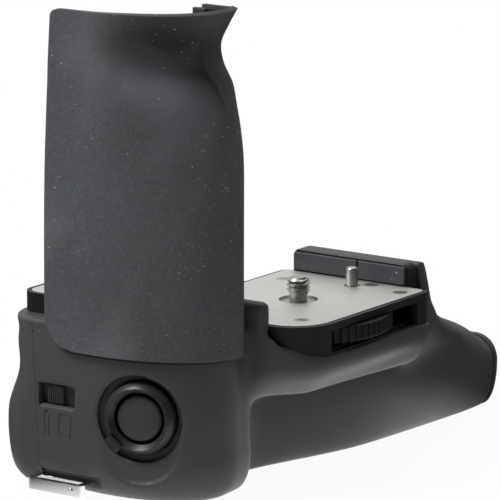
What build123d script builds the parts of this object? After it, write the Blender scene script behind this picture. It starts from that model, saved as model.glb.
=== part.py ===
from build123d import *
import os
from math import cos, sin, radians

os.makedirs("parts", exist_ok=True)

# A camera battery holder with a vertical grip, in millimetres.
# Origin: the tripod screw's axis where it leaves the camera plate. +Z is up.
# +X points to the finger side, -Y to the face with the release button.

# Driving dimensions of the housing
base_z = -46.5
wall = 2.2
face_y = -57.5
ledge_z = -0.6
block_front = 7.4
curve_x = -24.0
curve_y = -39.0
block_back = -29.8
bar_rear = -44.2
bar_end = 87.7
seam_x = -44.8
gap = 0.1

# Camera seat
plate_thick = 1.0
plate_x0 = -23.4
plate_x1 = 21.6
plate_y0 = -28.4
plate_y1 = 28.3
rim = 1.2
seat_floor = -12.0
front_corner = 12.0
small_corner = 3.0
deck_z = -2.2
fence_z = 5.8
fence_x0 = -22.0
fence_x1 = 15.0
rail_z = 6.0

# Tripod screw and thumbwheel
screw_r = 3.175
shank_r = 2.35
screw_top = 6.0
thread_start = -0.35
collar_r = 5.0
plate_hole_r = 5.2
wheel_r = 25.0
wheel_top = -2.5
wheel_bottom = -6.7
wheel_teeth = 66
spigot_r = 3.0
running = 0.05
pin_r = 1.6
pin_foot_r = 2.1
pin_x = 2.3
pin_y = 22.0
pin_top = 5.0

# Release button, its axis turned from -Y towards +X
button_turn = 16.0
button_x = -11.9
button_y = -55.8
button_z = -23.1
button_r = 6.1
button_gap = 0.75
button_travel = 1.1
ring_r = 9.75
ring_lip_r = 8.0
recess_r = 11.6
recess_depth = 3.2
scoop_drop = 5.8

# Battery tray: four AA cells, two side by side and two end to end
cell_r = 7.1
chamber_x0 = -42.8
chamber_x1 = -11.2
chamber_z0 = -44.6
chamber_z1 = -28.6
chamber_y0 = -19.0
cell_len = (bar_end - chamber_y0 - 6.1) / 2
slide = 0.3
tray_wall = 0.8
cap_thick = 2.3

# Hand panel
panel_y = -59.0
panel_bottom = -7.05
panel_top = 82.3
skin = 1.4
core = 1.4
leg_y = -30.4


def corner(start, pivot, end):
    """A near-circular corner from start to end that turns at pivot."""
    k = 0.55
    a = (start[0] + (pivot[0] - start[0]) * k, start[1] + (pivot[1] - start[1]) * k)
    b = (end[0] + (pivot[0] - end[0]) * k, end[1] + (pivot[1] - end[1]) * k)
    Bezier(start, a, b, end)


def between(stations, at):
    """Read a value at a place from a short list of (place, value) stations."""
    if at <= stations[0][0]:
        return stations[0][1]
    for (p0, v0), (p1, v1) in zip(stations, stations[1:]):
        if at <= p1:
            return v0 + (v1 - v0) * (at - p0) / (p1 - p0)
    return stations[-1][1]


def finger_side(near, front):
    """The quarter ellipse from the near face round to the finger side."""
    EllipticalCenterArc((curve_x, curve_y), front - curve_x, curve_y - near,
                        start_angle=270, arc_size=90)


def block_outline(pull, front_pull, rear, back):
    """The block's plan: flat near face, round finger side, round thumb side."""
    near = face_y + pull
    front = block_front - front_pull
    x0 = rear + pull
    r = max(11.5 - pull, 3.0)
    r_back = 5.0
    with BuildLine() as path:
        Line((x0 + r, near), (curve_x, near))
        finger_side(near, front)
        Line((front, curve_y), (front - 0.8, back))
        Line((front - 0.8, back), (x0 + r_back, back))
        corner((x0 + r_back, back), (x0, back), (x0, back - r_back))
        Line((x0, back - r_back), (x0, near + r))
        corner((x0, near + r), (x0, near), (x0 + r, near))
    return path.edges()


# The thumb side's outline: a waist near the top, a bulge below it.
thumb_side = [(-38.0, -59.7), (-31.0, -60.1), (-25.0, -59.0), (-19.0, -56.4),
              (-13.0, -55.1), (-7.0, -55.6), (ledge_z, -56.6)]


def block_form(inset, top, back):
    """The block as a loft of plans, rounded along its bottom edge."""
    fillet_near = 8.5
    fillet_front = 12.0
    with BuildPart() as form:
        for turn in (0, 30, 60):
            drop = 1 - cos(radians(turn))
            pull = 1 - sin(radians(turn))
            z = base_z + inset + (fillet_near - inset) * drop
            rear = between(thumb_side, z)
            with BuildSketch(Plane.XY.offset(z)):
                make_face(block_outline(inset + (fillet_near - inset) * pull,
                                        inset + (fillet_front - inset) * pull, rear, back))
        for z in (-38.0, -31.0, -25.0, -19.0, -13.0, -7.0, top):
            with BuildSketch(Plane.XY.offset(z)):
                make_face(block_outline(inset, inset, between(thumb_side, z), back))
        loft()
    return form.part


# The bar's stations along Y: nose X, nose Z, top Z, bottom tangent X, top tangent X
far_stretch = (bar_end - 38.0) / 49.7
bar_stations = [
    (-37.0, 6.4, -20.0, -3.0, -5.0, 0.0),
    (-30.0, 3.5, -21.0, -7.0, -7.5, -3.0),
    (-22.0, -3.0, -22.0, -11.0, -9.5, -9.0),
    (-13.0, -6.8, -22.5, -12.0, -10.5, -13.0),
    (-3.0, -3.4, -23.0, -12.0, -9.0, -12.0),
    (9.0, 2.8, -24.0, -12.0, -6.0, -7.0),
    (25.0, 8.0, -25.0, -11.0, -2.0, -1.0),
    (38.0, 9.3, -25.5, -6.0, -0.5, 2.0),
    (38.0 + 14.0 * far_stretch, 9.6, -26.5, -10.4, 0.5, 2.0),
    (38.0 + 30.0 * far_stretch, 9.2, -29.0, -17.5, 1.5, 1.0),
    (38.0 + 44.0 * far_stretch, 7.7, -32.0, -23.6, 2.0, 0.0),
    (bar_end, 6.6, -33.5, -26.2, 1.5, -0.5),
]


def bar_outline(nose_x, nose_z, top_z, bottom_x, top_x, inset=0.0):
    """One cross-section of the bar, in X and Z."""
    k = 0.58
    r = 6.0 - inset
    rear = bar_rear + inset
    low = base_z + inset
    top = top_z - inset
    nose = nose_x - inset
    with BuildLine() as path:
        Line((rear + r, low), (bottom_x, low))
        Bezier((bottom_x, low), (bottom_x + k * (nose - bottom_x), low),
               (nose, nose_z - k * (nose_z - low)), (nose, nose_z))
        Bezier((nose, nose_z), (nose, nose_z + k * (top - nose_z)),
               (top_x + k * (nose - top_x), top), (top_x, top))
        Line((top_x, top), (rear + r, top))
        corner((rear + r, top), (rear, top), (rear, top - r))
        Line((rear, top - r), (rear, low + r))
        corner((rear, low + r), (rear, low), (rear + r, low))
    return path.edges()


def seat_outline(x0, x1, y0, y1, big, small):
    """A plate outline with one large corner at the near finger side."""
    with BuildSketch() as plan:
        with BuildLine():
            Polyline((x0, y0), (x1, y0), (x1, y1), (x0, y1), close=True)
        make_face()
        front = vertices().sort_by(Axis.X)[-2:].sort_by(Axis.Y)[0]
        fillet(front, big)
        square = [v for v in vertices() if abs(v.X - x0) < 0.01 or abs(v.Y - y1) < 0.01]
        fillet(square, small)
    return plan.sketch


seat_x0 = plate_x0 - rim
seat_x1 = plate_x1 + rim
seat_y0 = plate_y0 - rim
seat_y1 = plate_y1 + rim

outward = (sin(radians(button_turn)), -cos(radians(button_turn)), 0)
across = (cos(radians(button_turn)), sin(radians(button_turn)), 0)
button_plane = Plane(origin=(button_x, button_y, button_z), x_dir=across, z_dir=outward)

block_skin = block_form(0.0, ledge_z, block_back)

# The housing's share of the block; the rear shell closes the thumb side
with BuildPart() as half:
    add(block_skin)
    split(bisect_by=Plane(origin=(seam_x, 0, 0), z_dir=(1, 0, 0)), keep=Keep.TOP)
block_half = half.part

# The room inside the block, less a boss that closes the button's recess
with BuildPart() as room:
    add(block_form(wall, ledge_z - wall, block_back - wall))
    with BuildSketch(button_plane.offset(-recess_depth - 2)):
        Circle(recess_r + 1.6)
        with Locations((0, -scoop_drop / 2)):
            SlotOverall(2 * recess_r + scoop_drop + 3, 2 * recess_r + 3, rotation=90)
    extrude(amount=30, mode=Mode.SUBTRACT)
block_room = room.part

# Switch window, its two symbols and the strap recess, on the near face
window_x0 = -42.6
window_x1 = -31.1
window_z0 = -22.6
window_z1 = -17.2
window_depth = 4.0
symbol_z = -27.6
symbol_depth = 0.35
strap_x0 = -43.9
strap_x1 = -23.4
strap_z = -40.6
strap_depth = 1.6

# Fixing places shared by several pieces
tab_x0 = -51.4
tab_thick = 2.4
shell_screw_places = [(-48.8, -45.5), (-48.8, -38.5)]
bracket_x = -31.0
bracket_screw_x = [-34.0, -28.0]
cell_z = (chamber_z0 + chamber_z1) / 2
cell_mid = (chamber_x0 + chamber_x1) / 2
cell_x = [cell_mid - cell_r - 0.25, cell_mid + cell_r + 0.25]
contact_r = 2.5
board_y = -35.4
board_screw_places = [(-36.0, -12.0), (-4.0, -12.0)]

# Main housing: block, bar, the neck under the seat and the wedge behind the fence
with BuildPart() as grip_body:
    for y, nose_x, nose_z, top_z, bottom_x, top_x in bar_stations:
        with BuildSketch(Plane.XZ.offset(-y)):
            make_face(bar_outline(nose_x, nose_z, top_z, bottom_x, top_x))
    loft()
    add(block_half)
    for z, draw_in, far in ((-30, 31, 4), (-22, 25, 6), (-16.5, 13.5, 8)):
        with BuildSketch(Plane.XY.offset(z)):
            add(seat_outline(seat_x0 + 1, seat_x1 - draw_in, seat_y0 + 2, seat_y1 + far, 10, 3))
    with BuildSketch(Plane.XY.offset(seat_floor - 0.05)):
        add(seat_outline(seat_x0 + 0.6, seat_x1 - 1.2, seat_y0 + 0.6, seat_y1 + 5, 11, 3))
    loft()
    with BuildSketch(Plane.YZ.offset(fence_x0 - 0.5)):
        with BuildLine():
            Polyline((34.6, -16), (34.6, fence_z - 0.3), (38, fence_z - 0.6), (39.4, 3.5),
                     (40.4, -3), (46, -8.2), (46, -16), close=True)
        make_face()
        fillet(vertices().filter_by_position(Axis.Y, 3, 6), 0.8)
    extrude(amount=fence_x1 - fence_x0 + 0.7)
    # Room for the camera seat
    with Locations((seat_x0 - 3, seat_y0 - gap, seat_floor)):
        Box(seat_x1 - seat_x0 + 10, seat_y1 - seat_y0 + 5.2 + gap, 20,
            align=(Align.MIN, Align.MIN, Align.MIN), mode=Mode.SUBTRACT)
    # Rooms inside: the block, the tray chamber and the neck
    add(block_room, mode=Mode.SUBTRACT)
    with Locations((bar_rear + wall, chamber_y0 - wall, -16)):
        Box(30.4, 14, 26, align=(Align.MIN, Align.MAX, Align.MAX), mode=Mode.SUBTRACT)
    with Locations((chamber_x0, chamber_y0, chamber_z0)):
        Box(chamber_x1 - chamber_x0, bar_end - chamber_y0 + 1, chamber_z1 - chamber_z0,
            align=(Align.MIN, Align.MIN, Align.MIN), mode=Mode.SUBTRACT)
    with Locations((seat_x0 + 4, seat_y0 + 8, seat_floor + 1)):
        Box(10.5, seat_y1 - seat_y0 - 10, 14.5, align=(Align.MIN, Align.MIN, Align.MAX),
            mode=Mode.SUBTRACT)
    # Button recess, finger scoop and the housing's bore
    with BuildSketch(button_plane.offset(-recess_depth)):
        Circle(recess_r)
    extrude(amount=recess_depth + 6, mode=Mode.SUBTRACT)
    with BuildSketch(button_plane.offset(-1.3)):
        with Locations((0, -scoop_drop / 2)):
            SlotOverall(2 * recess_r + scoop_drop, 2 * recess_r, rotation=90)
    extrude(amount=7, mode=Mode.SUBTRACT)
    with BuildSketch(button_plane):
        Circle(ring_r)
    extrude(amount=-14, mode=Mode.SUBTRACT)
    # Switch window
    with BuildSketch(Plane.XZ.offset(-face_y)):
        with Locations(((window_x0 + window_x1) / 2, (window_z0 + window_z1) / 2)):
            Rectangle(window_x1 - window_x0, window_z1 - window_z0)
    extrude(amount=-window_depth - 3, mode=Mode.SUBTRACT)
    # Cell symbols
    with BuildSketch(Plane.XZ.offset(-face_y)):
        with Locations((-39.7, symbol_z)):
            SlotOverall(6.0, 1.8, rotation=90)
        with Locations((-33.2, symbol_z)):
            RectangleRounded(4.0, 5.4, 1.2)
        with Locations((-39.7, symbol_z)):
            SlotOverall(5.4, 1.2, rotation=90, mode=Mode.SUBTRACT)
        with Locations((-33.2, symbol_z)):
            RectangleRounded(3.4, 4.8, 0.9, mode=Mode.SUBTRACT)
    extrude(amount=-symbol_depth, mode=Mode.SUBTRACT)
    # Strap recess
    with BuildSketch(Plane.XZ.offset(-face_y - strap_depth)):
        with Locations(((strap_x0 + strap_x1) / 2, strap_z)):
            Rectangle(strap_x1 - strap_x0, 12, align=(Align.CENTER, Align.MAX))
    extrude(amount=8, mode=Mode.SUBTRACT)
    # Threaded bush seat and the end cap's lock bore
    with Locations((-16, -34, base_z)):
        Cylinder(5.5, 8, align=(Align.CENTER, Align.CENTER, Align.MIN))
        Cylinder(4.6, 20, mode=Mode.SUBTRACT)
    # Tabs that the rear shell is screwed to
    low_tab_z = base_z + wall + gap
    high_tab_z = ledge_z - wall - gap - tab_thick
    for z0, root_z in ((low_tab_z, base_z + 1), (high_tab_z, ledge_z - 1 - tab_thick)):
        with Locations((tab_x0, -42, z0)):
            Box(seam_x - tab_x0 + 6, 12, tab_thick, align=(Align.MIN, Align.CENTER, Align.MIN))
        with Locations((seam_x, -42, root_z)):
            Box(6, 12, tab_thick, align=(Align.MIN, Align.CENTER, Align.MIN))
    with Locations(*[(x, y, base_z) for x, y in shell_screw_places]):
        Cylinder(0.9, 12, mode=Mode.SUBTRACT)
    # Bosses for the circuit board
    with Locations(*[(x, board_y + 0.72, z) for x, z in board_screw_places]):
        Cylinder(2.2, 3.4, rotation=(-90, 0, 0), align=(Align.CENTER, Align.CENTER, Align.MIN))
        Cylinder(0.92, 2.2, rotation=(-90, 0, 0), align=(Align.CENTER, Align.CENTER, Align.MIN),
                 mode=Mode.SUBTRACT)
    # Bores for the bracket's screws, the tower's screws and the chamber contacts
    with Locations(*[(x, -53.0, ledge_z) for x in bracket_screw_x]):
        Cylinder(0.75, 6, mode=Mode.SUBTRACT)
    with Locations(*[(x, chamber_y0, cell_z) for x in cell_x]):
        Cylinder(contact_r + 0.02, 12, rotation=(90, 0, 0), mode=Mode.SUBTRACT)
grip_body.part.label = "grip_body"
export_step(grip_body.part, "parts/grip_body.step")


# Rear shell: the thumb side of the block, closed on the seam
with BuildPart() as rear_shell:
    add(block_skin)
    split(bisect_by=Plane(origin=(seam_x - gap, 0, 0), z_dir=(1, 0, 0)), keep=Keep.BOTTOM)
    add(block_room, mode=Mode.SUBTRACT)
    with Locations(*[(x, y, base_z) for x, y in shell_screw_places]):
        Cylinder(1.1, 12, mode=Mode.SUBTRACT)
        Cylinder(2.0, 2.4, mode=Mode.SUBTRACT)
rear_shell.part.label = "rear_shell"
export_step(rear_shell.part, "parts/rear_shell.step")

with BuildPart() as shell_screws:
    with Locations(*[(x, y, base_z) for x, y in shell_screw_places]):
        with Locations((0, 0, 0.4)):
            Cylinder(1.9, 0.78, align=(Align.CENTER, Align.CENTER, Align.MIN))
            Cylinder(0.88, 4.2, align=(Align.CENTER, Align.CENTER, Align.MIN))
            with Locations((0, 0, 0.05)):
                Box(2.4, 0.5, 0.6, mode=Mode.SUBTRACT)
shell_screws.part.label = "shell_screws"
export_step(shell_screws.part, "parts/shell_screws.step")

# Camera seat: a frame with a thin deck under the plate, and a base that carries the wheel
seat_wall = 2.0
slot_y0 = -18.0
slot_y1 = 22.8
slot_z = -8.0
wheel_room_r = wheel_r + 0.7
plate_screw_places = [(14.4, -19.5), (6.3, 25.6), (17.6, 22.2), (-17.4, 18.4)]

with BuildPart() as seat_frame:
    with BuildSketch(Plane.XY.offset(seat_floor)):
        add(seat_outline(seat_x0, seat_x1, seat_y0, seat_y1, front_corner, small_corner))
        with BuildSketch(mode=Mode.PRIVATE) as bulge:
            Circle(wheel_room_r + 1.2)
            with Locations((0, 0)):
                Rectangle(60, 60, align=(Align.MIN, Align.CENTER), mode=Mode.SUBTRACT)
        add(bulge.sketch)
    extrude(amount=-seat_floor - 0.2)
    with BuildSketch(Plane.XY.offset(-plate_thick - 0.02)):
        add(seat_outline(plate_x0 - gap, plate_x1 + gap, plate_y0 - gap, plate_y1 + gap,
                         front_corner - rim, small_corner - rim))
    extrude(amount=4, mode=Mode.SUBTRACT)
    with BuildSketch(Plane.XY.offset(seat_floor)):
        add(seat_outline(seat_x0 + seat_wall, seat_x1 - seat_wall, seat_y0 + seat_wall,
                         seat_y1 - seat_wall, front_corner - seat_wall, small_corner - seat_wall))
        with BuildSketch(mode=Mode.PRIVATE) as wheel_room:
            Circle(wheel_room_r)
            with Locations((0, 0)):
                Rectangle(60, 60, align=(Align.MIN, Align.CENTER), mode=Mode.SUBTRACT)
        add(wheel_room.sketch)
    extrude(amount=deck_z - seat_floor, mode=Mode.SUBTRACT)
    with Locations((seat_x1 - 6, slot_y0, slot_z)):
        Box(12, slot_y1 - slot_y0, deck_z - slot_z,
            align=(Align.MIN, Align.MIN, Align.MIN), mode=Mode.SUBTRACT)
    with Locations((0, 0, deck_z)):
        Cylinder(plate_hole_r, 6, mode=Mode.SUBTRACT)
    with Locations((pin_x, pin_y, deck_z)):
        Cylinder(pin_foot_r + 0.02, 6, mode=Mode.SUBTRACT)
    with Locations(*[(x, y, deck_z) for x, y in plate_screw_places]):
        Cylinder(0.95, 6, mode=Mode.SUBTRACT)
seat_frame.part.label = "seat_frame"
export_step(seat_frame.part, "parts/seat_frame.step")

base_top = wheel_bottom - 0.7
with BuildPart() as seat_base:
    inset = seat_wall + gap
    with BuildSketch(Plane.XY.offset(seat_floor)):
        add(seat_outline(seat_x0 + inset, seat_x1 - inset, seat_y0 + inset,
                         seat_y1 - inset, front_corner - inset, small_corner - seat_wall))
    extrude(amount=base_top - seat_floor)
    with BuildSketch(Plane.XY.offset(seat_floor)):
        add(seat_outline(seat_x0 + 6, seat_x1 - 6, seat_y0 + 6, seat_y1 - 6, 8, 2))
        Circle(6, mode=Mode.SUBTRACT)
        Rectangle(60, 3, mode=Mode.SUBTRACT)
        Rectangle(3, 60, mode=Mode.SUBTRACT)
    extrude(amount=3, mode=Mode.SUBTRACT)
    with Locations((0, 0, seat_floor)):
        Cylinder(spigot_r + running, 20, mode=Mode.SUBTRACT)
seat_base.part.label = "seat_base"
export_step(seat_base.part, "parts/seat_base.step")

screw_head_r = 1.9
with BuildPart() as camera_plate:
    with BuildSketch(Plane.XY.offset(-plate_thick)):
        add(seat_outline(plate_x0, plate_x1, plate_y0, plate_y1,
                         front_corner - rim, small_corner - rim))
        Circle(plate_hole_r, mode=Mode.SUBTRACT)
        with Locations((pin_x, pin_y)):
            Circle(pin_foot_r + 0.05, mode=Mode.SUBTRACT)
        with Locations(*plate_screw_places):
            Circle(1.1, mode=Mode.SUBTRACT)
    extrude(amount=plate_thick)
    with Locations(*[(x, y, 0) for x, y in plate_screw_places]):
        Cylinder(screw_head_r + 0.05, 1.2, mode=Mode.SUBTRACT)
camera_plate.part.label = "camera_plate"
export_step(camera_plate.part, "parts/camera_plate.step")

with BuildPart() as plate_screws:
    with Locations(*[(x, y, 0) for x, y in plate_screw_places]):
        Cylinder(screw_head_r, 0.58, align=(Align.CENTER, Align.CENTER, Align.MAX))
        Cylinder(0.93, -deck_z, align=(Align.CENTER, Align.CENTER, Align.MAX))
        Box(2.4, 0.5, 0.5, mode=Mode.SUBTRACT)
plate_screws.part.label = "plate_screws"
export_step(plate_screws.part, "parts/plate_screws.step")

# Tripod screw with its collar, on the thumbwheel's axis
with BuildPart() as tripod_screw:
    with BuildSketch(Plane.XZ):
        with BuildLine():
            Polyline((0, -9.6), (spigot_r - 0.3, -9.6), (spigot_r, -9.3), (spigot_r, -2.0),
                     (collar_r, -2.0), (collar_r, -0.5), (shank_r, -0.5),
                     (shank_r, thread_start), (screw_r, thread_start), (screw_r, screw_top - 0.8),
                     (screw_r - 0.8, screw_top), (0, screw_top), close=True)
        make_face()
    revolve(axis=Axis.Z)
tripod_screw.part.label = "tripod_screw"
export_step(tripod_screw.part, "parts/tripod_screw.step")

with BuildPart() as thumbwheel:
    with BuildSketch(Plane.XY.offset(wheel_bottom)):
        Circle(wheel_r - 0.6)
        with PolarLocations(wheel_r - 0.6, wheel_teeth):
            Rectangle(1.2, 1.2)
        Circle(spigot_r + 0.02, mode=Mode.SUBTRACT)
    extrude(amount=wheel_top - wheel_bottom)
    with BuildSketch(Plane.XY.offset(wheel_bottom)):
        Circle(21.5)
        Circle(7.5, mode=Mode.SUBTRACT)
    extrude(amount=2.4, mode=Mode.SUBTRACT)
thumbwheel.part.label = "thumbwheel"
export_step(thumbwheel.part, "parts/thumbwheel.step")

with BuildPart() as wheel_washer:
    with Locations((0, 0, base_top)):
        Cylinder(6, 0.5, align=(Align.CENTER, Align.CENTER, Align.MIN))
        Cylinder(spigot_r + 0.15, 3, mode=Mode.SUBTRACT)
wheel_washer.part.label = "wheel_washer"
export_step(wheel_washer.part, "parts/wheel_washer.step")

with BuildPart() as locating_pin:
    # A wider foot under the plate, an undercut, and the pin itself
    with Locations((pin_x, pin_y, deck_z)):
        Cylinder(pin_foot_r, -0.2 - deck_z, align=(Align.CENTER, Align.CENTER, Align.MIN))
    with Locations((pin_x, pin_y, -0.2)):
        Cylinder(pin_r - 0.3, 0.35, align=(Align.CENTER, Align.CENTER, Align.MIN))
    with Locations((pin_x, pin_y, 0.15)):
        Cylinder(pin_r, pin_top - 0.15, align=(Align.CENTER, Align.CENTER, Align.MIN))
    chamfer(edges().group_by(Axis.Z)[-1], 0.4)
locating_pin.part.label = "locating_pin"
export_step(locating_pin.part, "parts/locating_pin.step")

# The two rails that hold the camera sideways
rail_x0 = -24.0
rail_x1 = 9.6
with BuildPart() as near_rail:
    with Locations((rail_x0, seat_y0 - gap, ledge_z + 0.02)):
        Box(rail_x1 - rail_x0, 3.8, rail_z - ledge_z, align=(Align.MIN, Align.MAX, Align.MIN))
    fillet(edges().filter_by(Axis.Z), 1.2)
    fillet(edges().group_by(Axis.Z)[-1], 0.9)
near_rail.part.label = "near_rail"
export_step(near_rail.part, "parts/near_rail.step")

with BuildPart() as fence_insert:
    with Locations((fence_x0, seat_y1 + gap, seat_floor + gap)):
        Box(fence_x1 - fence_x0, 4.8, fence_z - seat_floor - gap,
            align=(Align.MIN, Align.MIN, Align.MIN))
    fillet(edges().filter_by(Axis.Y).group_by(Axis.Z)[-1], 2.0)
fence_insert.part.label = "fence_insert"
export_step(fence_insert.part, "parts/fence_insert.step")

pad_split = -0.6
pad_ends = [(fence_x0 + 0.8, pad_split - 0.2), (pad_split + 0.2, fence_x1 - 0.4)]
for index, (x0, x1) in enumerate(pad_ends, 1):
    with BuildPart() as fence_pad:
        with Locations((x0, seat_y1 + gap, 0.1)):
            Box(x1 - x0, 0.9, fence_z - 0.8, align=(Align.MIN, Align.MAX, Align.MIN))
    fence_pad.part.label = f"fence_pad_{index}"
    export_step(fence_pad.part, f"parts/fence_pad_{index}.step")

# The contact tower stands on the block, inside the camera's own grip
tower_x0 = -54.3
tower_x1 = -8.0
tower_y0 = -50.3
tower_y1 = -35.2
tower_z = 4.7
tower_rim = 1.2
pin_row_x = [-40.0, -36.0, -32.0, -28.0]
pin_row_y = -43.0
contact_pin_r = 0.9
contact_travel = 1.0
with BuildPart() as contact_tower:
    with BuildSketch(Plane.XY.offset(ledge_z + 0.02)):
        with Locations(((tower_x0 + tower_x1) / 2, (tower_y0 + tower_y1) / 2)):
            RectangleRounded(tower_x1 - tower_x0, tower_y1 - tower_y0, 5.0)
    extrude(amount=tower_z - 0.1 - ledge_z)
    with BuildSketch(Plane.XY.offset(tower_z - 0.8)):
        with Locations(((tower_x0 + tower_x1) / 2, (tower_y0 + tower_y1) / 2)):
            RectangleRounded(tower_x1 - tower_x0 - 2 * tower_rim,
                             tower_y1 - tower_y0 - 2 * tower_rim, 5.0 - tower_rim)
    extrude(amount=3, mode=Mode.SUBTRACT)
    with Locations(*[(x, pin_row_y, 0) for x in pin_row_x]):
        Cylinder(contact_pin_r + 0.08, 12, mode=Mode.SUBTRACT)
contact_tower.part.label = "contact_tower"
export_step(contact_tower.part, "parts/contact_tower.step")

with BuildPart() as tower_plate:
    with BuildSketch(Plane.XY.offset(tower_z - 0.78)):
        with Locations(((tower_x0 + tower_x1) / 2, (tower_y0 + tower_y1) / 2)):
            RectangleRounded(tower_x1 - tower_x0 - 2 * tower_rim - 2 * gap,
                             tower_y1 - tower_y0 - 2 * tower_rim - 2 * gap,
                             5.0 - tower_rim - gap)
        with Locations(((pin_row_x[0] + pin_row_x[-1]) / 2, pin_row_y)):
            SlotOverall(18, 5, mode=Mode.SUBTRACT)
        with Locations((-48.8, -42.5), (-14.0, -42.5)):
            Circle(1.2, mode=Mode.SUBTRACT)
    extrude(amount=0.78)
tower_plate.part.label = "tower_plate"
export_step(tower_plate.part, "parts/tower_plate.step")

pin_height = tower_z + 1.9
with BuildPart() as contact_pins:
    with Locations(*[(x, pin_row_y, pin_height) for x in pin_row_x]):
        Cylinder(contact_pin_r, 5.4, align=(Align.CENTER, Align.CENTER, Align.MAX))
    chamfer(edges().group_by(Axis.Z)[-1], 0.3)
    strip_z = tower_z - 0.8 + 0.1 + contact_travel
    with Locations(((pin_row_x[0] + pin_row_x[-1]) / 2, pin_row_y, strip_z)):
        Box(15, 2.6, 0.6, align=(Align.CENTER, Align.CENTER, Align.MIN))
contact_pins.part.label = "contact_pins"
export_step(contact_pins.part, "parts/contact_pins.step")

# Hand panel stations along Z: left edge X, fold X and the Y of its rear leg
panel_stretch = (panel_top - panel_bottom) / 89.35
panel_stations = [
    (panel_bottom, -39.3, 8.9, -34.2),
    (panel_bottom + 19.05 * panel_stretch, -39.3, 8.7, -34.2),
    (panel_bottom + 37.05 * panel_stretch, -39.1, 8.3, -33.2),
    (panel_bottom + 51.05 * panel_stretch, -38.7, 7.8, -32.4),
    (panel_bottom + 59.05 * panel_stretch, -38.3, 6.6, -31.9),
    (panel_bottom + 65.05 * panel_stretch, -38.0, 4.4, -31.5),
    (panel_bottom + 70.05 * panel_stretch, -37.7, 1.4, -31.1),
    (panel_bottom + 75.25 * panel_stretch, -37.5, -0.9, -30.8),
    (panel_bottom + 80.05 * panel_stretch, -37.2, 0.2, -30.5),
    (panel_bottom + 84.55 * panel_stretch, -36.9, 2.6, -30.4),
    (panel_top, -36.6, 4.6, -30.4),
]


def panel_plan(pull, left, fold, back):
    """The panel's plan, filled: near face, front fold and the line of its rear leg."""
    near = panel_y + pull
    front = fold - pull
    rear = back - pull
    with BuildLine() as path:
        Line((left, near), (curve_x, near))
        finger_side(near, front)
        corner((front, curve_y), (front, rear), (front - 4.5, rear))
        Line((front - 4.5, rear), (left, rear))
        Line((left, rear), (left, near))
    return path.edges()


def panel_form(pull, left_extra, low, high):
    """The filled panel as a loft of its plans, cut to a height."""
    with BuildPart() as form:
        for z, left, fold, back in panel_stations:
            with BuildSketch(Plane.XY.offset(z)):
                make_face(panel_plan(pull, left - left_extra, fold, back))
        loft(ruled=True)
        split(bisect_by=Plane.XY.offset(low), keep=Keep.TOP)
        split(bisect_by=Plane.XY.offset(high), keep=Keep.BOTTOM)
    return form.part


leg_end_x = -8.4
panel_corner_r = 9.0


def panel_layer(outer, inner, low, high, left_back):
    """One layer of the J-shaped panel, between two offsets."""
    skin_solid = panel_form(outer, 0.0, low, high)
    hollow = panel_form(inner, 4.0, panel_bottom, panel_top)
    with BuildPart() as layer:
        add(skin_solid)
        add(hollow, mode=Mode.SUBTRACT)
        with Locations((leg_end_x, -46, panel_bottom - 1)):
            Box(60, 40, 100, align=(Align.MAX, Align.MIN, Align.MIN), mode=Mode.SUBTRACT)
        if left_back:
            with Locations((-60, -70, -20)):
                Box(60 - 39.3 + left_back, 40, 120, align=(Align.MIN, Align.MIN, Align.MIN),
                    mode=Mode.SUBTRACT)
        with BuildSketch(Plane.XZ.offset(-panel_y + 2)):
            with Locations((-39.3 - 2, panel_bottom - 2)):
                Rectangle(panel_corner_r + 2, panel_corner_r + 2, align=(Align.MIN, Align.MIN))
            with Locations((-39.3 + panel_corner_r, panel_bottom + panel_corner_r)):
                Circle(panel_corner_r, mode=Mode.SUBTRACT)
        extrude(amount=-8, mode=Mode.SUBTRACT)
    return layer.part


with BuildPart() as panel_skin:
    add(panel_layer(0.0, skin, panel_bottom, panel_top, 0.0))
    # Below the ledge the return leg makes way for the block
    with Locations((leg_end_x - 2, curve_y - 0.5, panel_bottom - 1)):
        Box(block_front + gap / 2 - leg_end_x + 2, 20, ledge_z + gap - panel_bottom + 1,
            align=(Align.MIN, Align.MIN, Align.MIN), mode=Mode.SUBTRACT)
panel_skin.part.label = "panel_skin"
export_step(panel_skin.part, "parts/panel_skin.step")

with BuildPart() as panel_core:
    add(panel_layer(skin + 0.06, skin + core, ledge_z + 0.02, panel_top - 0.6, 0.8))
panel_core.part.label = "panel_core"
export_step(panel_core.part, "parts/panel_core.step")

bracket_y = panel_y + skin + core + 0.03
with BuildPart() as panel_bracket:
    with Locations((bracket_x, bracket_y, ledge_z + 0.02)):
        Box(12, 1.0, 14, align=(Align.CENTER, Align.MIN, Align.MIN))
        Box(12, 5.0, 1.0, align=(Align.CENTER, Align.MIN, Align.MIN))
    with Locations(*[(x, -53.0, ledge_z) for x in bracket_screw_x]):
        Cylinder(0.85, 6, mode=Mode.SUBTRACT)
panel_bracket.part.label = "panel_bracket"
export_step(panel_bracket.part, "parts/panel_bracket.step")

with BuildPart() as bracket_screws:
    with Locations(*[(x, -53.0, ledge_z + 1.04) for x in bracket_screw_x]):
        Cylinder(1.4, 0.9, align=(Align.CENTER, Align.CENTER, Align.MIN))
        Cylinder(0.74, 3.2, align=(Align.CENTER, Align.CENTER, Align.MAX))
bracket_screws.part.label = "bracket_screws"
export_step(bracket_screws.part, "parts/bracket_screws.step")

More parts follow.
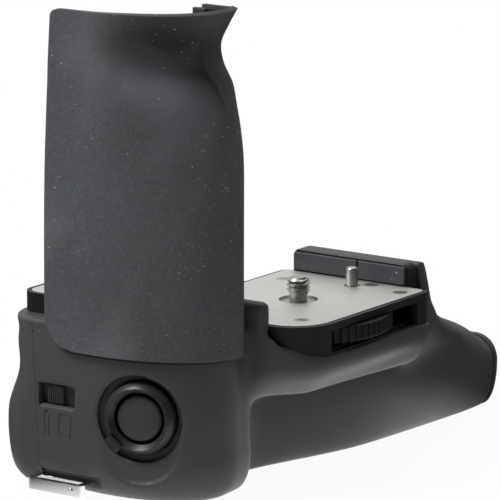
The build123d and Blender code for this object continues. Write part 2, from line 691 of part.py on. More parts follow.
# Release button group, all on the turned button plane
housing_floor = -13.8
with BuildPart() as button_housing:
    with BuildSketch(button_plane.offset(housing_floor)):
        Circle(ring_r - 0.1)
    extrude(amount=-recess_depth - housing_floor - 0.05)
    with BuildSketch(button_plane.offset(housing_floor + 1.4)):
        Circle(ring_r - 1.3)
        Circle(3.0, mode=Mode.SUBTRACT)
    extrude(amount=12, mode=Mode.SUBTRACT)
    with BuildSketch(button_plane.offset(housing_floor + 4.4)):
        Circle(3.2)
    extrude(amount=12, mode=Mode.SUBTRACT)
    with BuildSketch(button_plane.offset(housing_floor)):
        Circle(2.0 + running)
    extrude(amount=12, mode=Mode.SUBTRACT)
button_housing.part.label = "button_housing"
export_step(button_housing.part, "parts/button_housing.step")

ring_low = -recess_depth + 0.1
ring_flat = -0.9
ring_lip = 0.7
with BuildPart() as lock_ring:
    with BuildSketch(button_plane.offset(ring_low)):
        Circle(ring_r - 0.1)
    extrude(amount=ring_flat - ring_low)
    with BuildSketch(button_plane.offset(ring_flat)):
        Circle(ring_lip_r)
    extrude(amount=ring_lip - ring_flat, taper=12)
    with BuildSketch(button_plane.offset(ring_low)):
        Circle(button_r + button_gap)
    extrude(amount=8, mode=Mode.SUBTRACT)
    with BuildSketch(button_plane.offset(ring_low + 0.9)):
        with PolarLocations(ring_r, 1, start_angle=225):
            Rectangle(3.4, 7.0)
    extrude(amount=6, mode=Mode.SUBTRACT)
    with BuildSketch(button_plane.offset(ring_low)):
        with PolarLocations(ring_r - 0.4, 1, start_angle=225):
            Rectangle(2.4, 6.6)
    extrude(amount=ring_flat + 0.5 - ring_low)
lock_ring.part.label = "lock_ring"
export_step(lock_ring.part, "parts/lock_ring.step")

button_rest = -0.5
with BuildPart() as release_button:
    with BuildSketch(button_plane.offset(-6.2)):
        Circle(button_r)
    extrude(amount=6.2 + button_rest)
    with BuildSketch(button_plane.offset(-11.6)):
        Circle(2.0)
    extrude(amount=6)
    fillet(faces().sort_by(Axis((0, 0, 0), outward))[-1].edges(), 1.6)
release_button.part.label = "release_button"
export_step(release_button.part, "parts/release_button.step")

with BuildPart() as button_spring:
    with BuildSketch(button_plane.offset(housing_floor + 1.45)):
        Circle(4.4)
        Circle(3.6, mode=Mode.SUBTRACT)
    # Drawn at its pressed length, so that the button never enters it
    extrude(amount=-6.3 - button_travel - housing_floor - 1.45)
button_spring.part.label = "button_spring"
export_step(button_spring.part, "parts/button_spring.step")

with BuildPart() as shutter_switch:
    with BuildSketch(button_plane.offset(housing_floor - 0.1)):
        Rectangle(10, 7)
    extrude(amount=-3.4)
shutter_switch.part.label = "shutter_switch"
export_step(shutter_switch.part, "parts/shutter_switch.step")

# Cell selector in its window
knob_x0 = -40.6
knob_wide = 5.2
knob_travel = 4.1
window_mid_z = (window_z0 + window_z1) / 2
with BuildPart() as selector_knob:
    with Locations((knob_x0, face_y + 0.9, window_mid_z)):
        Box(knob_wide, 3.4, window_z1 - window_z0 - 0.5,
            align=(Align.MIN, Align.MIN, Align.CENTER))
    groove_x = [knob_x0 + knob_wide * (i + 0.5) / 4 for i in range(4)]
    with Locations(*[(x, face_y + 0.9, window_mid_z) for x in groove_x]):
        Box(0.6, 0.7, 10, mode=Mode.SUBTRACT)
    with Locations((-46.2, face_y + wall + 0.3, window_mid_z)):
        Box(15.4, 1.2, 8.0, align=(Align.MIN, Align.MIN, Align.CENTER))
selector_knob.part.label = "selector_knob"
export_step(selector_knob.part, "parts/selector_knob.step")

with BuildPart() as selector_switch:
    with Locations((-36, face_y + wall + 2.2, window_mid_z)):
        Box(14, 4.5, 6, align=(Align.CENTER, Align.MIN, Align.CENTER))
selector_switch.part.label = "selector_switch"
export_step(selector_switch.part, "parts/selector_switch.step")

# Strap lug: a chrome loop at the near bottom edge
lug_x0 = -43.4
lug_x1 = -25.4
lug_out = 4.6
lug_thick = 3.0
lug_top = -41.6
lug_root = face_y + strap_depth - 0.02
with BuildPart() as strap_lug:
    with Locations(((lug_x0 + lug_x1) / 2, lug_root, lug_top)):
        Box(lug_x1 - lug_x0, lug_out + strap_depth, lug_thick,
            align=(Align.CENTER, Align.MAX, Align.MAX))
    fillet(edges().filter_by(Axis.Z).group_by(Axis.Y)[0], 1.6)
    with Locations(((lug_x0 + lug_x1) / 2, face_y - 0.9, lug_top)):
        Box(lug_x1 - lug_x0 - 4.4, 2.2, 10, align=(Align.CENTER, Align.MAX, Align.CENTER),
            mode=Mode.SUBTRACT)
    with Locations((lug_x1 - 3.6, face_y - 4.0, lug_top - lug_thick / 2)):
        Cylinder(0.75, 1.6, rotation=(90, 0, 0), mode=Mode.SUBTRACT)
strap_lug.part.label = "strap_lug"
export_step(strap_lug.part, "parts/strap_lug.step")

with BuildPart() as lug_rivet:
    with Locations((lug_x1 - 3.6, face_y - lug_out + 0.1, lug_top - lug_thick / 2)):
        Cylinder(0.73, 0.9, rotation=(90, 0, 0), align=(Align.CENTER, Align.CENTER, Align.CENTER))
lug_rivet.part.label = "lug_rivet"
export_step(lug_rivet.part, "parts/lug_rivet.step")

# Battery tray with its cells, contacts, end cap and lock
tray_x0 = chamber_x0 + slide
tray_x1 = chamber_x1 - slide
tray_z0 = chamber_z0 + slide
tray_z1 = chamber_z1 - slide
tray_y0 = chamber_y0 + 0.5
tray_plate = 1.5
tray_y1 = bar_end
cell_start = tray_y0 + tray_plate + 1.8
with BuildPart() as battery_tray:
    with Locations((tray_x0, tray_y0, tray_z0)):
        Box(tray_x1 - tray_x0, tray_y1 - tray_y0, tray_z1 - tray_z0,
            align=(Align.MIN, Align.MIN, Align.MIN))
    with Locations((tray_x0 + tray_wall, tray_y0 + tray_plate, tray_z0 + 0.55)):
        Box(tray_x1 - tray_x0 - 2 * tray_wall, tray_y1 - tray_y0 - tray_plate - 1.1,
            tray_z1 - tray_z0, align=(Align.MIN, Align.MIN, Align.MIN), mode=Mode.SUBTRACT)
    with Locations((cell_mid, (tray_y0 + tray_y1) / 2, tray_z1)):
        Box(60, tray_y1 - tray_y0 - 16, 10, mode=Mode.SUBTRACT)
    with Locations(*[(x, tray_y0, cell_z) for x in cell_x]):
        Cylinder(contact_r + 0.1, 6, rotation=(90, 0, 0), mode=Mode.SUBTRACT)
    with Locations((cell_mid, tray_y1, cell_z)):
        Cylinder(1.6 + running, 6, rotation=(90, 0, 0), mode=Mode.SUBTRACT)
    for y in (cell_start + 0.25 * cell_len, cell_start + 1.75 * cell_len):
        with Locations((cell_mid, y, tray_z0)):
            Box(tray_x1 - tray_x0 - 8, 12, 4, mode=Mode.SUBTRACT)
battery_tray.part.label = "battery_tray"
export_step(battery_tray.part, "parts/battery_tray.step")

for index in range(4):
    row = index % 2
    place = index // 2
    y0 = cell_start + place * (cell_len + 0.4)
    turned = row == 1
    with BuildPart() as aa_cell:
        with Locations((cell_x[row], y0 + (0.0 if not turned else 1.2), cell_z)):
            Cylinder(cell_r, cell_len - 1.2, rotation=(-90, 0, 0),
                     align=(Align.CENTER, Align.CENTER, Align.MIN))
        with Locations((cell_x[row], y0 + (cell_len - 1.2 if not turned else 0.0), cell_z)):
            Cylinder(2.7, 1.2, rotation=(-90, 0, 0), align=(Align.CENTER, Align.CENTER, Align.MIN))
    aa_cell.part.label = f"aa_cell_{index + 1}"
    export_step(aa_cell.part, f"parts/aa_cell_{index + 1}.step")

with BuildPart() as tray_springs:
    with Locations(*[(x, cell_start - 1.75, cell_z) for x in cell_x]):
        Cylinder(4.5, 1.7, rotation=(-90, 0, 0), align=(Align.CENTER, Align.CENTER, Align.MIN))
        Cylinder(3.6, 9, rotation=(-90, 0, 0), mode=Mode.SUBTRACT)
tray_springs.part.label = "tray_springs"
export_step(tray_springs.part, "parts/tray_springs.step")

with BuildPart() as tray_terminals:
    with Locations(*[(x, tray_y0, cell_z) for x in cell_x]):
        Cylinder(contact_r, tray_plate, rotation=(-90, 0, 0),
                 align=(Align.CENTER, Align.CENTER, Align.MIN))
tray_terminals.part.label = "tray_terminals"
export_step(tray_terminals.part, "parts/tray_terminals.step")

link_y = cell_start + 2 * cell_len + 0.45
with BuildPart() as tray_link:
    with Locations((cell_mid, link_y, cell_z)):
        Box(23, 0.4, 9, align=(Align.CENTER, Align.MIN, Align.CENTER))
        Cylinder(1.9, 6, rotation=(90, 0, 0), mode=Mode.SUBTRACT)
tray_link.part.label = "tray_link"
export_step(tray_link.part, "parts/tray_link.step")

cap_y0 = bar_end + 0.06
cap_y1 = cap_y0 + cap_thick
knob_r = 6.4
knob_recess = 1.2
end_station = bar_stations[-1]
with BuildPart() as end_cap:
    with BuildSketch(Plane.XZ.offset(-cap_y0)):
        make_face(bar_outline(*end_station[1:]))
    extrude(amount=-cap_thick)
    fillet(faces().sort_by(Axis.Y)[-1].edges(), 0.9)
    with Locations((cell_mid, cap_y1, cell_z)):
        Cylinder(knob_r + 0.15, 2 * knob_recess, rotation=(90, 0, 0), mode=Mode.SUBTRACT)
        Cylinder(1.6 + running, 9, rotation=(90, 0, 0), mode=Mode.SUBTRACT)
    with BuildSketch(Plane.XZ.offset(-cap_y0)):
        with Locations((cell_mid, cell_z)):
            Rectangle(chamber_x1 - chamber_x0 + 2.0, chamber_z1 - chamber_z0 + 2.0)
            Rectangle(chamber_x1 - chamber_x0 + 0.4, chamber_z1 - chamber_z0 + 0.4,
                      mode=Mode.SUBTRACT)
    extrude(amount=-0.6, mode=Mode.SUBTRACT)
    with Locations(*[(x, cap_y0, cell_z) for x in cell_x]):
        Cylinder(0.8, 2.4, rotation=(90, 0, 0), mode=Mode.SUBTRACT)
end_cap.part.label = "end_cap"
export_step(end_cap.part, "parts/end_cap.step")

with BuildPart() as cap_seal:
    with BuildSketch(Plane.XZ.offset(-cap_y0 + 0.01)):
        with Locations((cell_mid, cell_z)):
            Rectangle(chamber_x1 - chamber_x0 + 1.8, chamber_z1 - chamber_z0 + 1.8)
            Rectangle(chamber_x1 - chamber_x0 + 0.6, chamber_z1 - chamber_z0 + 0.6, mode=Mode.SUBTRACT)
    extrude(amount=-0.58)
cap_seal.part.label = "cap_seal"
export_step(cap_seal.part, "parts/cap_seal.step")

with BuildPart() as lock_knob:
    with Locations((cell_mid, cap_y1 - knob_recess + 0.05, cell_z)):
        Cylinder(knob_r, 1.4, rotation=(-90, 0, 0), align=(Align.CENTER, Align.CENTER, Align.MIN))
        Cylinder(1.6, 2.4, rotation=(90, 0, 0), align=(Align.CENTER, Align.CENTER, Align.MIN))
        with Locations((0, 1.4, 0)):
            Box(10.4, 2.2, 2.6)
lock_knob.part.label = "lock_knob"
export_step(lock_knob.part, "parts/lock_knob.step")

# Chamber contacts, circuit board and the tripod bush
with BuildPart() as chamber_contacts:
    with Locations(*[(x, chamber_y0 + 0.3, cell_z) for x in cell_x]):
        Cylinder(contact_r, 3.4, rotation=(90, 0, 0), align=(Align.CENTER, Align.CENTER, Align.MIN))
chamber_contacts.part.label = "chamber_contacts"
export_step(chamber_contacts.part, "parts/chamber_contacts.step")

with BuildPart() as circuit_board:
    with Locations((-20, board_y, -23)):
        Box(38, 1.4, 26)
    with Locations(*[(x, board_y, z) for x, z in board_screw_places]):
        Cylinder(0.95, 4, rotation=(90, 0, 0), mode=Mode.SUBTRACT)
circuit_board.part.label = "circuit_board"
export_step(circuit_board.part, "parts/circuit_board.step")

with BuildPart() as board_chips:
    for x, z, wide, tall in ((-28, -24, 9, 9), (-14, -18, 6, 4), (-12, -28, 7, 5), (-22, -32, 4, 3)):
        with Locations((x, board_y - 0.72, z)):
            Box(wide, 1.2, tall, align=(Align.CENTER, Align.MAX, Align.CENTER))
board_chips.part.label = "board_chips"
export_step(board_chips.part, "parts/board_chips.step")

with BuildPart() as board_screws:
    with Locations(*[(x, board_y - 0.75, z) for x, z in board_screw_places]):
        Cylinder(1.5, 0.9, rotation=(90, 0, 0), align=(Align.CENTER, Align.CENTER, Align.MIN))
        Cylinder(0.9, 2.6, rotation=(-90, 0, 0), align=(Align.CENTER, Align.CENTER, Align.MIN))
board_screws.part.label = "board_screws"
export_step(board_screws.part, "parts/board_screws.step")

with BuildPart() as tripod_bush:
    with Locations((-16, -34, base_z)):
        Cylinder(4.58, 7.6, align=(Align.CENTER, Align.CENTER, Align.MIN))
        Cylinder(screw_r, 14, mode=Mode.SUBTRACT)
tripod_bush.part.label = "tripod_bush"
export_step(tripod_bush.part, "parts/tripod_bush.step")
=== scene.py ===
import bmesh
import bpy
from math import atan2, cos, exp, hypot, pi, radians, sin, sqrt
from mathutils import Euler, Matrix, Vector


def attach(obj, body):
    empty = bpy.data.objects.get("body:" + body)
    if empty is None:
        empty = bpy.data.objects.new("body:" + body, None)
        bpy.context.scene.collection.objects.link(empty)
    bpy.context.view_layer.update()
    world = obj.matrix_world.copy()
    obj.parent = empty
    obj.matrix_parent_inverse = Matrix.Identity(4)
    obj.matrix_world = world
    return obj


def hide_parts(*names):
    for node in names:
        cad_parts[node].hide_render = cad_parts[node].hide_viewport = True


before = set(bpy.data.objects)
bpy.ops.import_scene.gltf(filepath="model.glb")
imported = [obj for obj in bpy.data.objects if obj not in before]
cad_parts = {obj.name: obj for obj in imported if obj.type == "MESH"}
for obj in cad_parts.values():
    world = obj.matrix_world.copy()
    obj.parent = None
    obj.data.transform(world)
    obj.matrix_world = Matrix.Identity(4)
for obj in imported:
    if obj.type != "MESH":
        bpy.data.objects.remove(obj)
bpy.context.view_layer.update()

# Lengths are written in millimetres and turned into metres by mm.
mm = 0.001

# The bench: how every piece is started, shaped and finished


def share(value, start, span):
    """0 up to the start, rising to 1 over the span."""
    return min(1.0, max(0.0, (value - start) / span))


def along(rows, at):
    """The value at a place between rows of (place, value), held past both ends."""
    for (start, low), (end, high) in zip(rows, rows[1:]):
        if at <= end:
            return low + (high - low) * share(at, start, end - start)
    return rows[-1][1]


def mesh_clear():
    """Leave edit mode and select nothing."""
    if bpy.context.object and bpy.context.object.mode != "OBJECT":
        bpy.ops.object.mode_set(mode="OBJECT")
    bpy.ops.object.select_all(action="DESELECT")


def take(piece):
    mesh_clear()
    bpy.context.view_layer.objects.active = piece
    piece.select_set(True)
    return piece


def place_in_mesh(piece):
    take(piece)
    bpy.ops.object.transform_apply(location=True, rotation=True, scale=True)


def press(piece, kind, **settings):
    """Add a modifier with its settings and apply it."""
    take(piece)
    mod = piece.modifiers.new(kind.lower(), kind)
    for key, value in settings.items():
        setattr(mod, key, value)
    bpy.ops.object.modifier_apply(modifier=mod.name)


def block_piece(name, low, high, bevel=0.0, segments=3):
    """A cube primitive sized between two corners in mm, with its edges bevelled."""
    mesh_clear()
    centre = [(a + b) / 2 * mm for a, b in zip(low, high)]
    bpy.ops.mesh.primitive_cube_add(size=1, location=centre)
    piece = bpy.context.object
    piece.name = name
    piece.scale = [(b - a) * mm for a, b in zip(low, high)]
    place_in_mesh(piece)
    if bevel:
        press(piece, "BEVEL", width=bevel * mm, segments=segments, limit_method="ANGLE")
    return piece


def turned(name, profile, segments=96):
    """A turned piece on the Z axis: a circle that is extruded and scaled ring by ring."""
    mesh_clear()
    r0, z0 = profile[0]
    start = max(r0, 0.01)
    bpy.ops.mesh.primitive_circle_add(vertices=segments, radius=start * mm,
                                      fill_type="NOTHING", location=(0, 0, z0 * mm))
    piece = bpy.context.object
    piece.name = name
    place_in_mesh(piece)
    take(piece)
    bpy.ops.object.mode_set(mode="EDIT")
    bpy.ops.mesh.select_all(action="SELECT")
    if r0 < 0.02:
        bpy.ops.mesh.edge_face_add()
    r_was, z_was = start, z0
    for r, z in profile[1:]:
        r = max(r, 0.01)
        bpy.ops.mesh.extrude_edges_move(TRANSFORM_OT_translate={"value": (0, 0, (z - z_was) * mm)})
        k = r / r_was
        bpy.ops.transform.resize(value=(k, k, 1), center_override=(0, 0, z * mm))
        r_was, z_was = r, z
    if profile[-1][0] < 0.02:
        bpy.ops.mesh.edge_face_add()
    bpy.ops.mesh.select_all(action="SELECT")
    bpy.ops.mesh.remove_doubles(threshold=0.000001)
    bpy.ops.mesh.normals_make_consistent(inside=False)
    mesh_clear()
    return piece


def cut(piece, tool):
    """Take the tool's shape out of the piece and drop the tool."""
    press(piece, "BOOLEAN", object=tool, operation="DIFFERENCE", solver="EXACT")
    bpy.data.objects.remove(tool)


def volume(piece):
    """The volume of a closed mesh in cubic mm."""
    shape = bmesh.new()
    shape.from_mesh(piece.data)
    cubic_mm = shape.calc_volume(signed=True) / mm ** 3
    shape.free()
    return cubic_mm


def carve(piece, tool):
    """A shallow cut that is tried again with the tool moved a hair if it tears the piece."""
    whole = piece.data.copy()
    before = volume(piece)
    most_taken = 700
    for _ in range(6):
        press(piece, "BOOLEAN", object=tool, operation="DIFFERENCE", solver="EXACT")
        if abs(before - volume(piece)) < most_taken:
            break
        piece.data = whole.copy()
        for v in tool.data.vertices:
            v.co += Vector((0.011, 0.004, 0.007)) * mm
    bpy.data.objects.remove(tool)


def join(pieces):
    take(pieces[0])
    for other in pieces[1:]:
        other.select_set(True)
    bpy.ops.object.join()
    return pieces[0]


def cad_copy(node, name):
    """A merged copy of a CAD node's mesh, to be finished as its own piece."""
    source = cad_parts[node]
    mesh = source.data.copy()
    piece = bpy.data.objects.new(name, mesh)
    bpy.context.scene.collection.objects.link(piece)
    mesh.materials.clear()
    take(piece)
    bpy.ops.object.mode_set(mode="EDIT")
    bpy.ops.mesh.select_all(action="SELECT")
    bpy.ops.mesh.remove_doubles(threshold=0.000002)
    mesh_clear()
    return piece


def finish(piece, body, material, angle=32, stands_for=()):
    """Smooth it, paint it and put it on its body."""
    place_in_mesh(piece)
    piece.data.materials.clear()
    piece.data.materials.append(material)
    bpy.ops.object.shade_smooth_by_angle(angle=radians(angle))
    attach(piece, body)
    if stands_for:
        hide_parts(*stands_for)
    return piece


def eased(node, body, material, slot, width, segments=2, angle=32):
    """A copy of a CAD node with flat faces cleaned and its edges broken, as moulded or machined."""
    piece = cad_copy(node, node + "_eased")
    take(piece)
    bpy.ops.object.mode_set(mode="EDIT")
    bpy.ops.mesh.select_all(action="SELECT")
    bpy.ops.mesh.dissolve_limited(angle_limit=radians(1.5))
    mesh_clear()
    press(piece, "BEVEL", width=width * mm, segments=segments, limit_method="ANGLE",
          angle_limit=radians(angle), use_clamp_overlap=True, harden_normals=False)
    finish(piece, body, material, stands_for=[node])
    press(piece, "WEIGHTED_NORMAL", keep_sharp=True)
    return piece


# Materials, one per finish


class Finish:
    """One surface finish, built as a small node tree around a Principled shader."""

    def __init__(self, name, colour, roughness, metallic=0.0, **sockets):
        self.material = bpy.data.materials.new(name)
        self.material.use_nodes = True
        self.tree = self.material.node_tree
        self.shader = self.tree.nodes["Principled BSDF"]
        self.shader.inputs["Base Color"].default_value = (*colour, 1)
        self.shader.inputs["Roughness"].default_value = roughness
        self.shader.inputs["Metallic"].default_value = metallic
        for key, value in sockets.items():
            self.shader.inputs[key.replace("_", " ")].default_value = value
        self.where = self.tree.nodes.new("ShaderNodeTexCoord").outputs["Object"]
        self.height = None

    def noise(self, scale, detail=3.0, stretch=(1, 1, 1), turn=(0, 0, 0)):
        mapping = self.tree.nodes.new("ShaderNodeMapping")
        mapping.vector_type = "TEXTURE"
        mapping.inputs["Scale"].default_value = [1 / k for k in stretch]
        mapping.inputs["Rotation"].default_value = turn
        texture = self.tree.nodes.new("ShaderNodeTexNoise")
        texture.inputs["Scale"].default_value = scale
        texture.inputs["Detail"].default_value = detail
        self.tree.links.new(self.where, mapping.inputs["Vector"])
        self.tree.links.new(mapping.outputs[0], texture.inputs["Vector"])
        return texture.outputs["Fac"]

    def around(self, centre, radii, turn):
        """1 inside a tilted ellipsoid, given in mm, fading to 0 at its surface."""
        mapping = self.tree.nodes.new("ShaderNodeMapping")
        mapping.vector_type = "TEXTURE"
        mapping.inputs["Location"].default_value = [c * mm for c in centre]
        mapping.inputs["Rotation"].default_value = (0, turn, 0)
        mapping.inputs["Scale"].default_value = [r * mm for r in radii]
        far = self.tree.nodes.new("ShaderNodeVectorMath")
        far.operation = "LENGTH"
        self.tree.links.new(self.where, mapping.inputs["Vector"])
        self.tree.links.new(mapping.outputs[0], far.inputs[0])
        return self.ramp(far.outputs["Value"], 0.25, 1.1, 1.0, 0.0)

    def specks(self, scale, size):
        """Small round dots scattered through space."""
        texture = self.tree.nodes.new("ShaderNodeTexVoronoi")
        texture.inputs["Scale"].default_value = scale
        self.tree.links.new(self.where, texture.inputs["Vector"])
        return self.ramp(texture.outputs["Distance"], size, size * 1.5, 1.0, 0.0)

    def ramp(self, value, low, high, at_low=0.0, at_high=1.0):
        span = self.tree.nodes.new("ShaderNodeMapRange")
        for key, number in (("From Min", low), ("From Max", high),
                            ("To Min", at_low), ("To Max", at_high)):
            span.inputs[key].default_value = number
        self.tree.links.new(value, span.inputs["Value"])
        return span.outputs["Result"]

    def times(self, a, b):
        node = self.tree.nodes.new("ShaderNodeMath")
        node.operation = "MULTIPLY"
        self.tree.links.new(a, node.inputs[0])
        if isinstance(b, float):
            node.inputs[1].default_value = b
        else:
            self.tree.links.new(b, node.inputs[1])
        return node.outputs[0]

    def tint(self, mask, colour):
        """Lay a colour over the base where the mask is 1."""
        mix = self.tree.nodes.new("ShaderNodeMix")
        mix.data_type = "RGBA"
        base = self.shader.inputs["Base Color"]
        self.tree.links.new(mask, mix.inputs["Factor"])
        if base.is_linked:
            self.tree.links.new(base.links[0].from_socket, mix.inputs["A"])
        else:
            mix.inputs["A"].default_value = base.default_value
        mix.inputs["B"].default_value = (*colour, 1)
        self.tree.links.new(mix.outputs["Result"], base)

    def rough(self, value, low, high, at_low, at_high):
        self.tree.links.new(self.ramp(value, low, high, at_low, at_high),
                            self.shader.inputs["Roughness"])

    def bump(self, value, strength, depth):
        node = self.tree.nodes.new("ShaderNodeBump")
        node.inputs["Strength"].default_value = strength
        node.inputs["Distance"].default_value = depth * mm
        self.tree.links.new(value, node.inputs["Height"])
        if self.height:
            self.tree.links.new(self.height, node.inputs["Normal"])
        self.height = node.outputs["Normal"]
        self.tree.links.new(self.height, self.shader.inputs["Normal"])


def worn_rubber_and_painted_light(name, colour, scratch):
    """Matte grip rubber with a dusty bloom, specks and fine pale scratches, with painted shade in
    the thumb's scoop and a painted highlight on the ridge below it.
    """
    f = Finish(name, colour, 0.72, Specular_IOR_Level=0.32)
    f.tint(f.ramp(f.noise(22, 4), 0.35, 0.75, 0.0, 0.75), [c * 1.5 for c in colour])
    f.tint(f.ramp(f.noise(14, 5, (1, 1, 1), (0.4, 0.2, 0.7)), 0.5, 0.72, 0.0, 0.5),
           [c * 0.6 for c in colour])
    f.tint(f.times(f.ramp(f.noise(48, 6, (1, 1, 0.6), (0.1, 0.5, 0.2)), 0.50, 0.8), scratch),
           (0.125, 0.130, 0.138))
    f.tint(f.times(f.ramp(f.noise(1500, 2), 0.5, 0.75), 0.35), (0.13, 0.135, 0.14))
    # Painted shade darkens the thumb's scoop, and a painted highlight lightens the ridge below it
    f.tint(f.around((-4, -52, 75.5), (19, 24, 11), 0.0), [c * 0.42 for c in colour])
    f.tint(f.times(f.around((-5, -55, 62), (17, 20, 7), pi / 4), 0.55), (0.098, 0.104, 0.116))
    for turn, size in (((0.0, -0.35, 0.1), 480), ((0.0, 1.15, 0.0), 620)):
        streak = f.noise(size, 1.0, (1.0, 1.0, 0.09), turn)
        patch = f.ramp(f.noise(34, 2, (1, 1, 1), turn), 0.6, 0.66)
        f.tint(f.times(f.times(f.ramp(streak, 0.67, 0.74), patch), scratch), (0.19, 0.195, 0.205))
    f.tint(f.times(f.specks(620, 0.08), f.ramp(f.noise(46, 3), 0.45, 0.6)), (0.20, 0.205, 0.21))
    f.tint(f.times(f.specks(330, 0.04), f.ramp(f.noise(30, 2), 0.42, 0.55)), (0.5, 0.5, 0.5))
    f.rough(f.noise(35, 4), 0.3, 0.7, 0.62, 0.8)
    f.bump(f.noise(2600, 3), 0.35, 0.05)
    f.bump(f.noise(300, 3), 0.2, 0.06)
    return f.material


def moulded(name, colour, roughness, grain, dots=0.35):
    """Moulded housing plastic with a fine spark-eroded grain and a few dust specks."""
    f = Finish(name, colour, roughness, Specular_IOR_Level=0.36)
    f.tint(f.ramp(f.noise(18, 3), 0.35, 0.75, 0.0, 0.35), [c * 1.35 for c in colour])
    f.tint(f.times(f.times(f.specks(420, 0.04), f.ramp(f.noise(33, 2), 0.52, 0.6)), dots),
           (0.4, 0.4, 0.4))
    f.rough(f.noise(28, 4), 0.3, 0.7, roughness - 0.06, roughness + 0.07)
    f.bump(f.noise(1900, 4), grain, 0.06)
    return f.material


def metal(name, colour, roughness, brushed=0.0, way=(1, 1, 1)):
    f = Finish(name, colour, roughness, 1.0)
    f.tint(f.ramp(f.noise(60, 4), 0.4, 0.8, 0.0, 0.4), [c * 0.9 for c in colour])
    f.rough(f.noise(90, 4, way), 0.3, 0.7, roughness * 0.88, roughness * 1.15)
    if brushed:
        f.bump(f.noise(500, 3, way), brushed, 0.02)
    return f.material


def bluish_rubber():
    f = Finish("pad_rubber_worn", (0.050, 0.054, 0.060), 0.6, Specular_IOR_Level=0.3)
    f.tint(f.ramp(f.noise(120, 5, (1, 1, 3)), 0.55, 0.75, 0.0, 0.8), (0.05, 0.055, 0.062))
    f.tint(f.times(f.specks(380, 0.07), f.ramp(f.noise(70, 2), 0.48, 0.55)), (0.42, 0.43, 0.44))
    f.bump(f.noise(1400, 3), 0.3, 0.06)
    return f.material


def cell_wrapper():
    """A plain green wrapper, a little uneven in tone."""
    f = Finish("cell_wrapper", (0.02, 0.16, 0.13), 0.28)
    f.tint(f.ramp(f.noise(40, 2), 0.4, 0.7, 0.0, 0.3), (0.01, 0.1, 0.09))
    f.bump(f.noise(500, 2), 0.05, 0.02)
    return f.material


def board_finish():
    f = Finish("board_lacquer", (0.012, 0.09, 0.035), 0.35)
    f.tint(f.ramp(f.noise(900, 1, (0.3, 1, 3)), 0.56, 0.6), (0.03, 0.16, 0.06))
    f.bump(f.noise(900, 1, (0.3, 1, 3)), 0.3, 0.03)
    return f.material


panel_rubber = worn_rubber_and_painted_light("panel_rubber", (0.050, 0.0535, 0.058), 0.5)
block_plastic = moulded("block_plastic", (0.048, 0.048, 0.049), 0.5, 0.2, 0.6)
inner_plastic = moulded("inner_plastic", (0.010, 0.010, 0.0105), 0.5, 0.2, 0.1)
seat_plastic = moulded("seat_plastic", (0.018, 0.0182, 0.0188), 0.32, 0.14)
ring_gloss = moulded("ring_gloss", (0.024, 0.0242, 0.025), 0.40, 0.06)
button_satin = moulded("button_satin", (0.046, 0.046, 0.0453), 0.40, 0.12, 0.2)
wheel_plastic = moulded("wheel_plastic", (0.016, 0.016, 0.0165), 0.38, 0.12, 0.2)
knob_plastic = moulded("knob_plastic", (0.036, 0.036, 0.036), 0.5, 0.2, 0.1)
plate_metal = metal("plate_metal", (0.66, 0.65, 0.63), 0.46, 0.02, (1, 24, 1))
screw_steel = metal("screw_steel", (0.50, 0.49, 0.47), 0.30)
lug_chrome = metal("lug_chrome", (0.86, 0.86, 0.87), 0.07)
spring_wire = metal("spring_wire", (0.62, 0.61, 0.6), 0.25)
contact_gold = metal("contact_gold", (0.85, 0.62, 0.28), 0.22)
bush_brass = metal("bush_brass", (0.7, 0.5, 0.22), 0.35)
dark_screw = metal("dark_screw", (0.2, 0.2, 0.21), 0.3)
pad_rubber = bluish_rubber()
cell_skin = cell_wrapper()
board_skin = board_finish()


# The hand panel


def spread(stations, z):
    """A smooth curve through the stations (Catmull-Rom on uneven spacing)."""
    if z <= stations[0][0]:
        return stations[0][1:]
    if z >= stations[-1][0]:
        return stations[-1][1:]
    i = max(k for k in range(len(stations) - 1) if stations[k][0] <= z)
    a, b = stations[i], stations[i + 1]
    before = stations[max(i - 1, 0)]
    after = stations[min(i + 2, len(stations) - 1)]
    h = b[0] - a[0]
    t = (z - a[0]) / h
    values = []
    for k in range(1, len(a)):
        m0 = (b[k] - before[k]) / max(b[0] - before[0], 1e-6) * h
        m1 = (after[k] - a[k]) / max(after[0] - a[0], 1e-6) * h
        values.append((2 * t ** 3 - 3 * t * t + 1) * a[k] + (t ** 3 - 2 * t * t + t) * m0
                      + (3 * t * t - 2 * t ** 3) * b[k] + (t ** 3 - t * t) * m1)
    return values


# height, left edge, fold, rear leg
panel_stations = [
    (-7.05, -39.3, 8.9, -34.2), (12.0, -39.3, 8.7, -34.2), (30.0, -39.1, 8.3, -33.2),
    (44.0, -38.7, 7.8, -32.4), (52.0, -38.3, 6.6, -31.9), (58.0, -38.0, 5.15, -31.5),
    (63.0, -37.7, 3.78, -31.1), (68.2, -37.5, 0.69, -30.8), (73.0, -37.2, -0.19, -30.5),
    (77.5, -36.9, 1.91, -30.4), (82.3, -36.6, 4.86, -30.4),
]
curve_x = -24.0
curve_y = -39.0
leg_end = -8.4
panel_near_y = -59.0
panel_top_r = 2.2
fold_depth = 4.5
# The sheet's width is shared by the flat near face, the curve, the fold and the rear leg
curve_from, curve_share = 0.22, 0.5
fold_from, fold_share = 0.72, 0.18
leg_from, leg_share = 0.9, 0.1


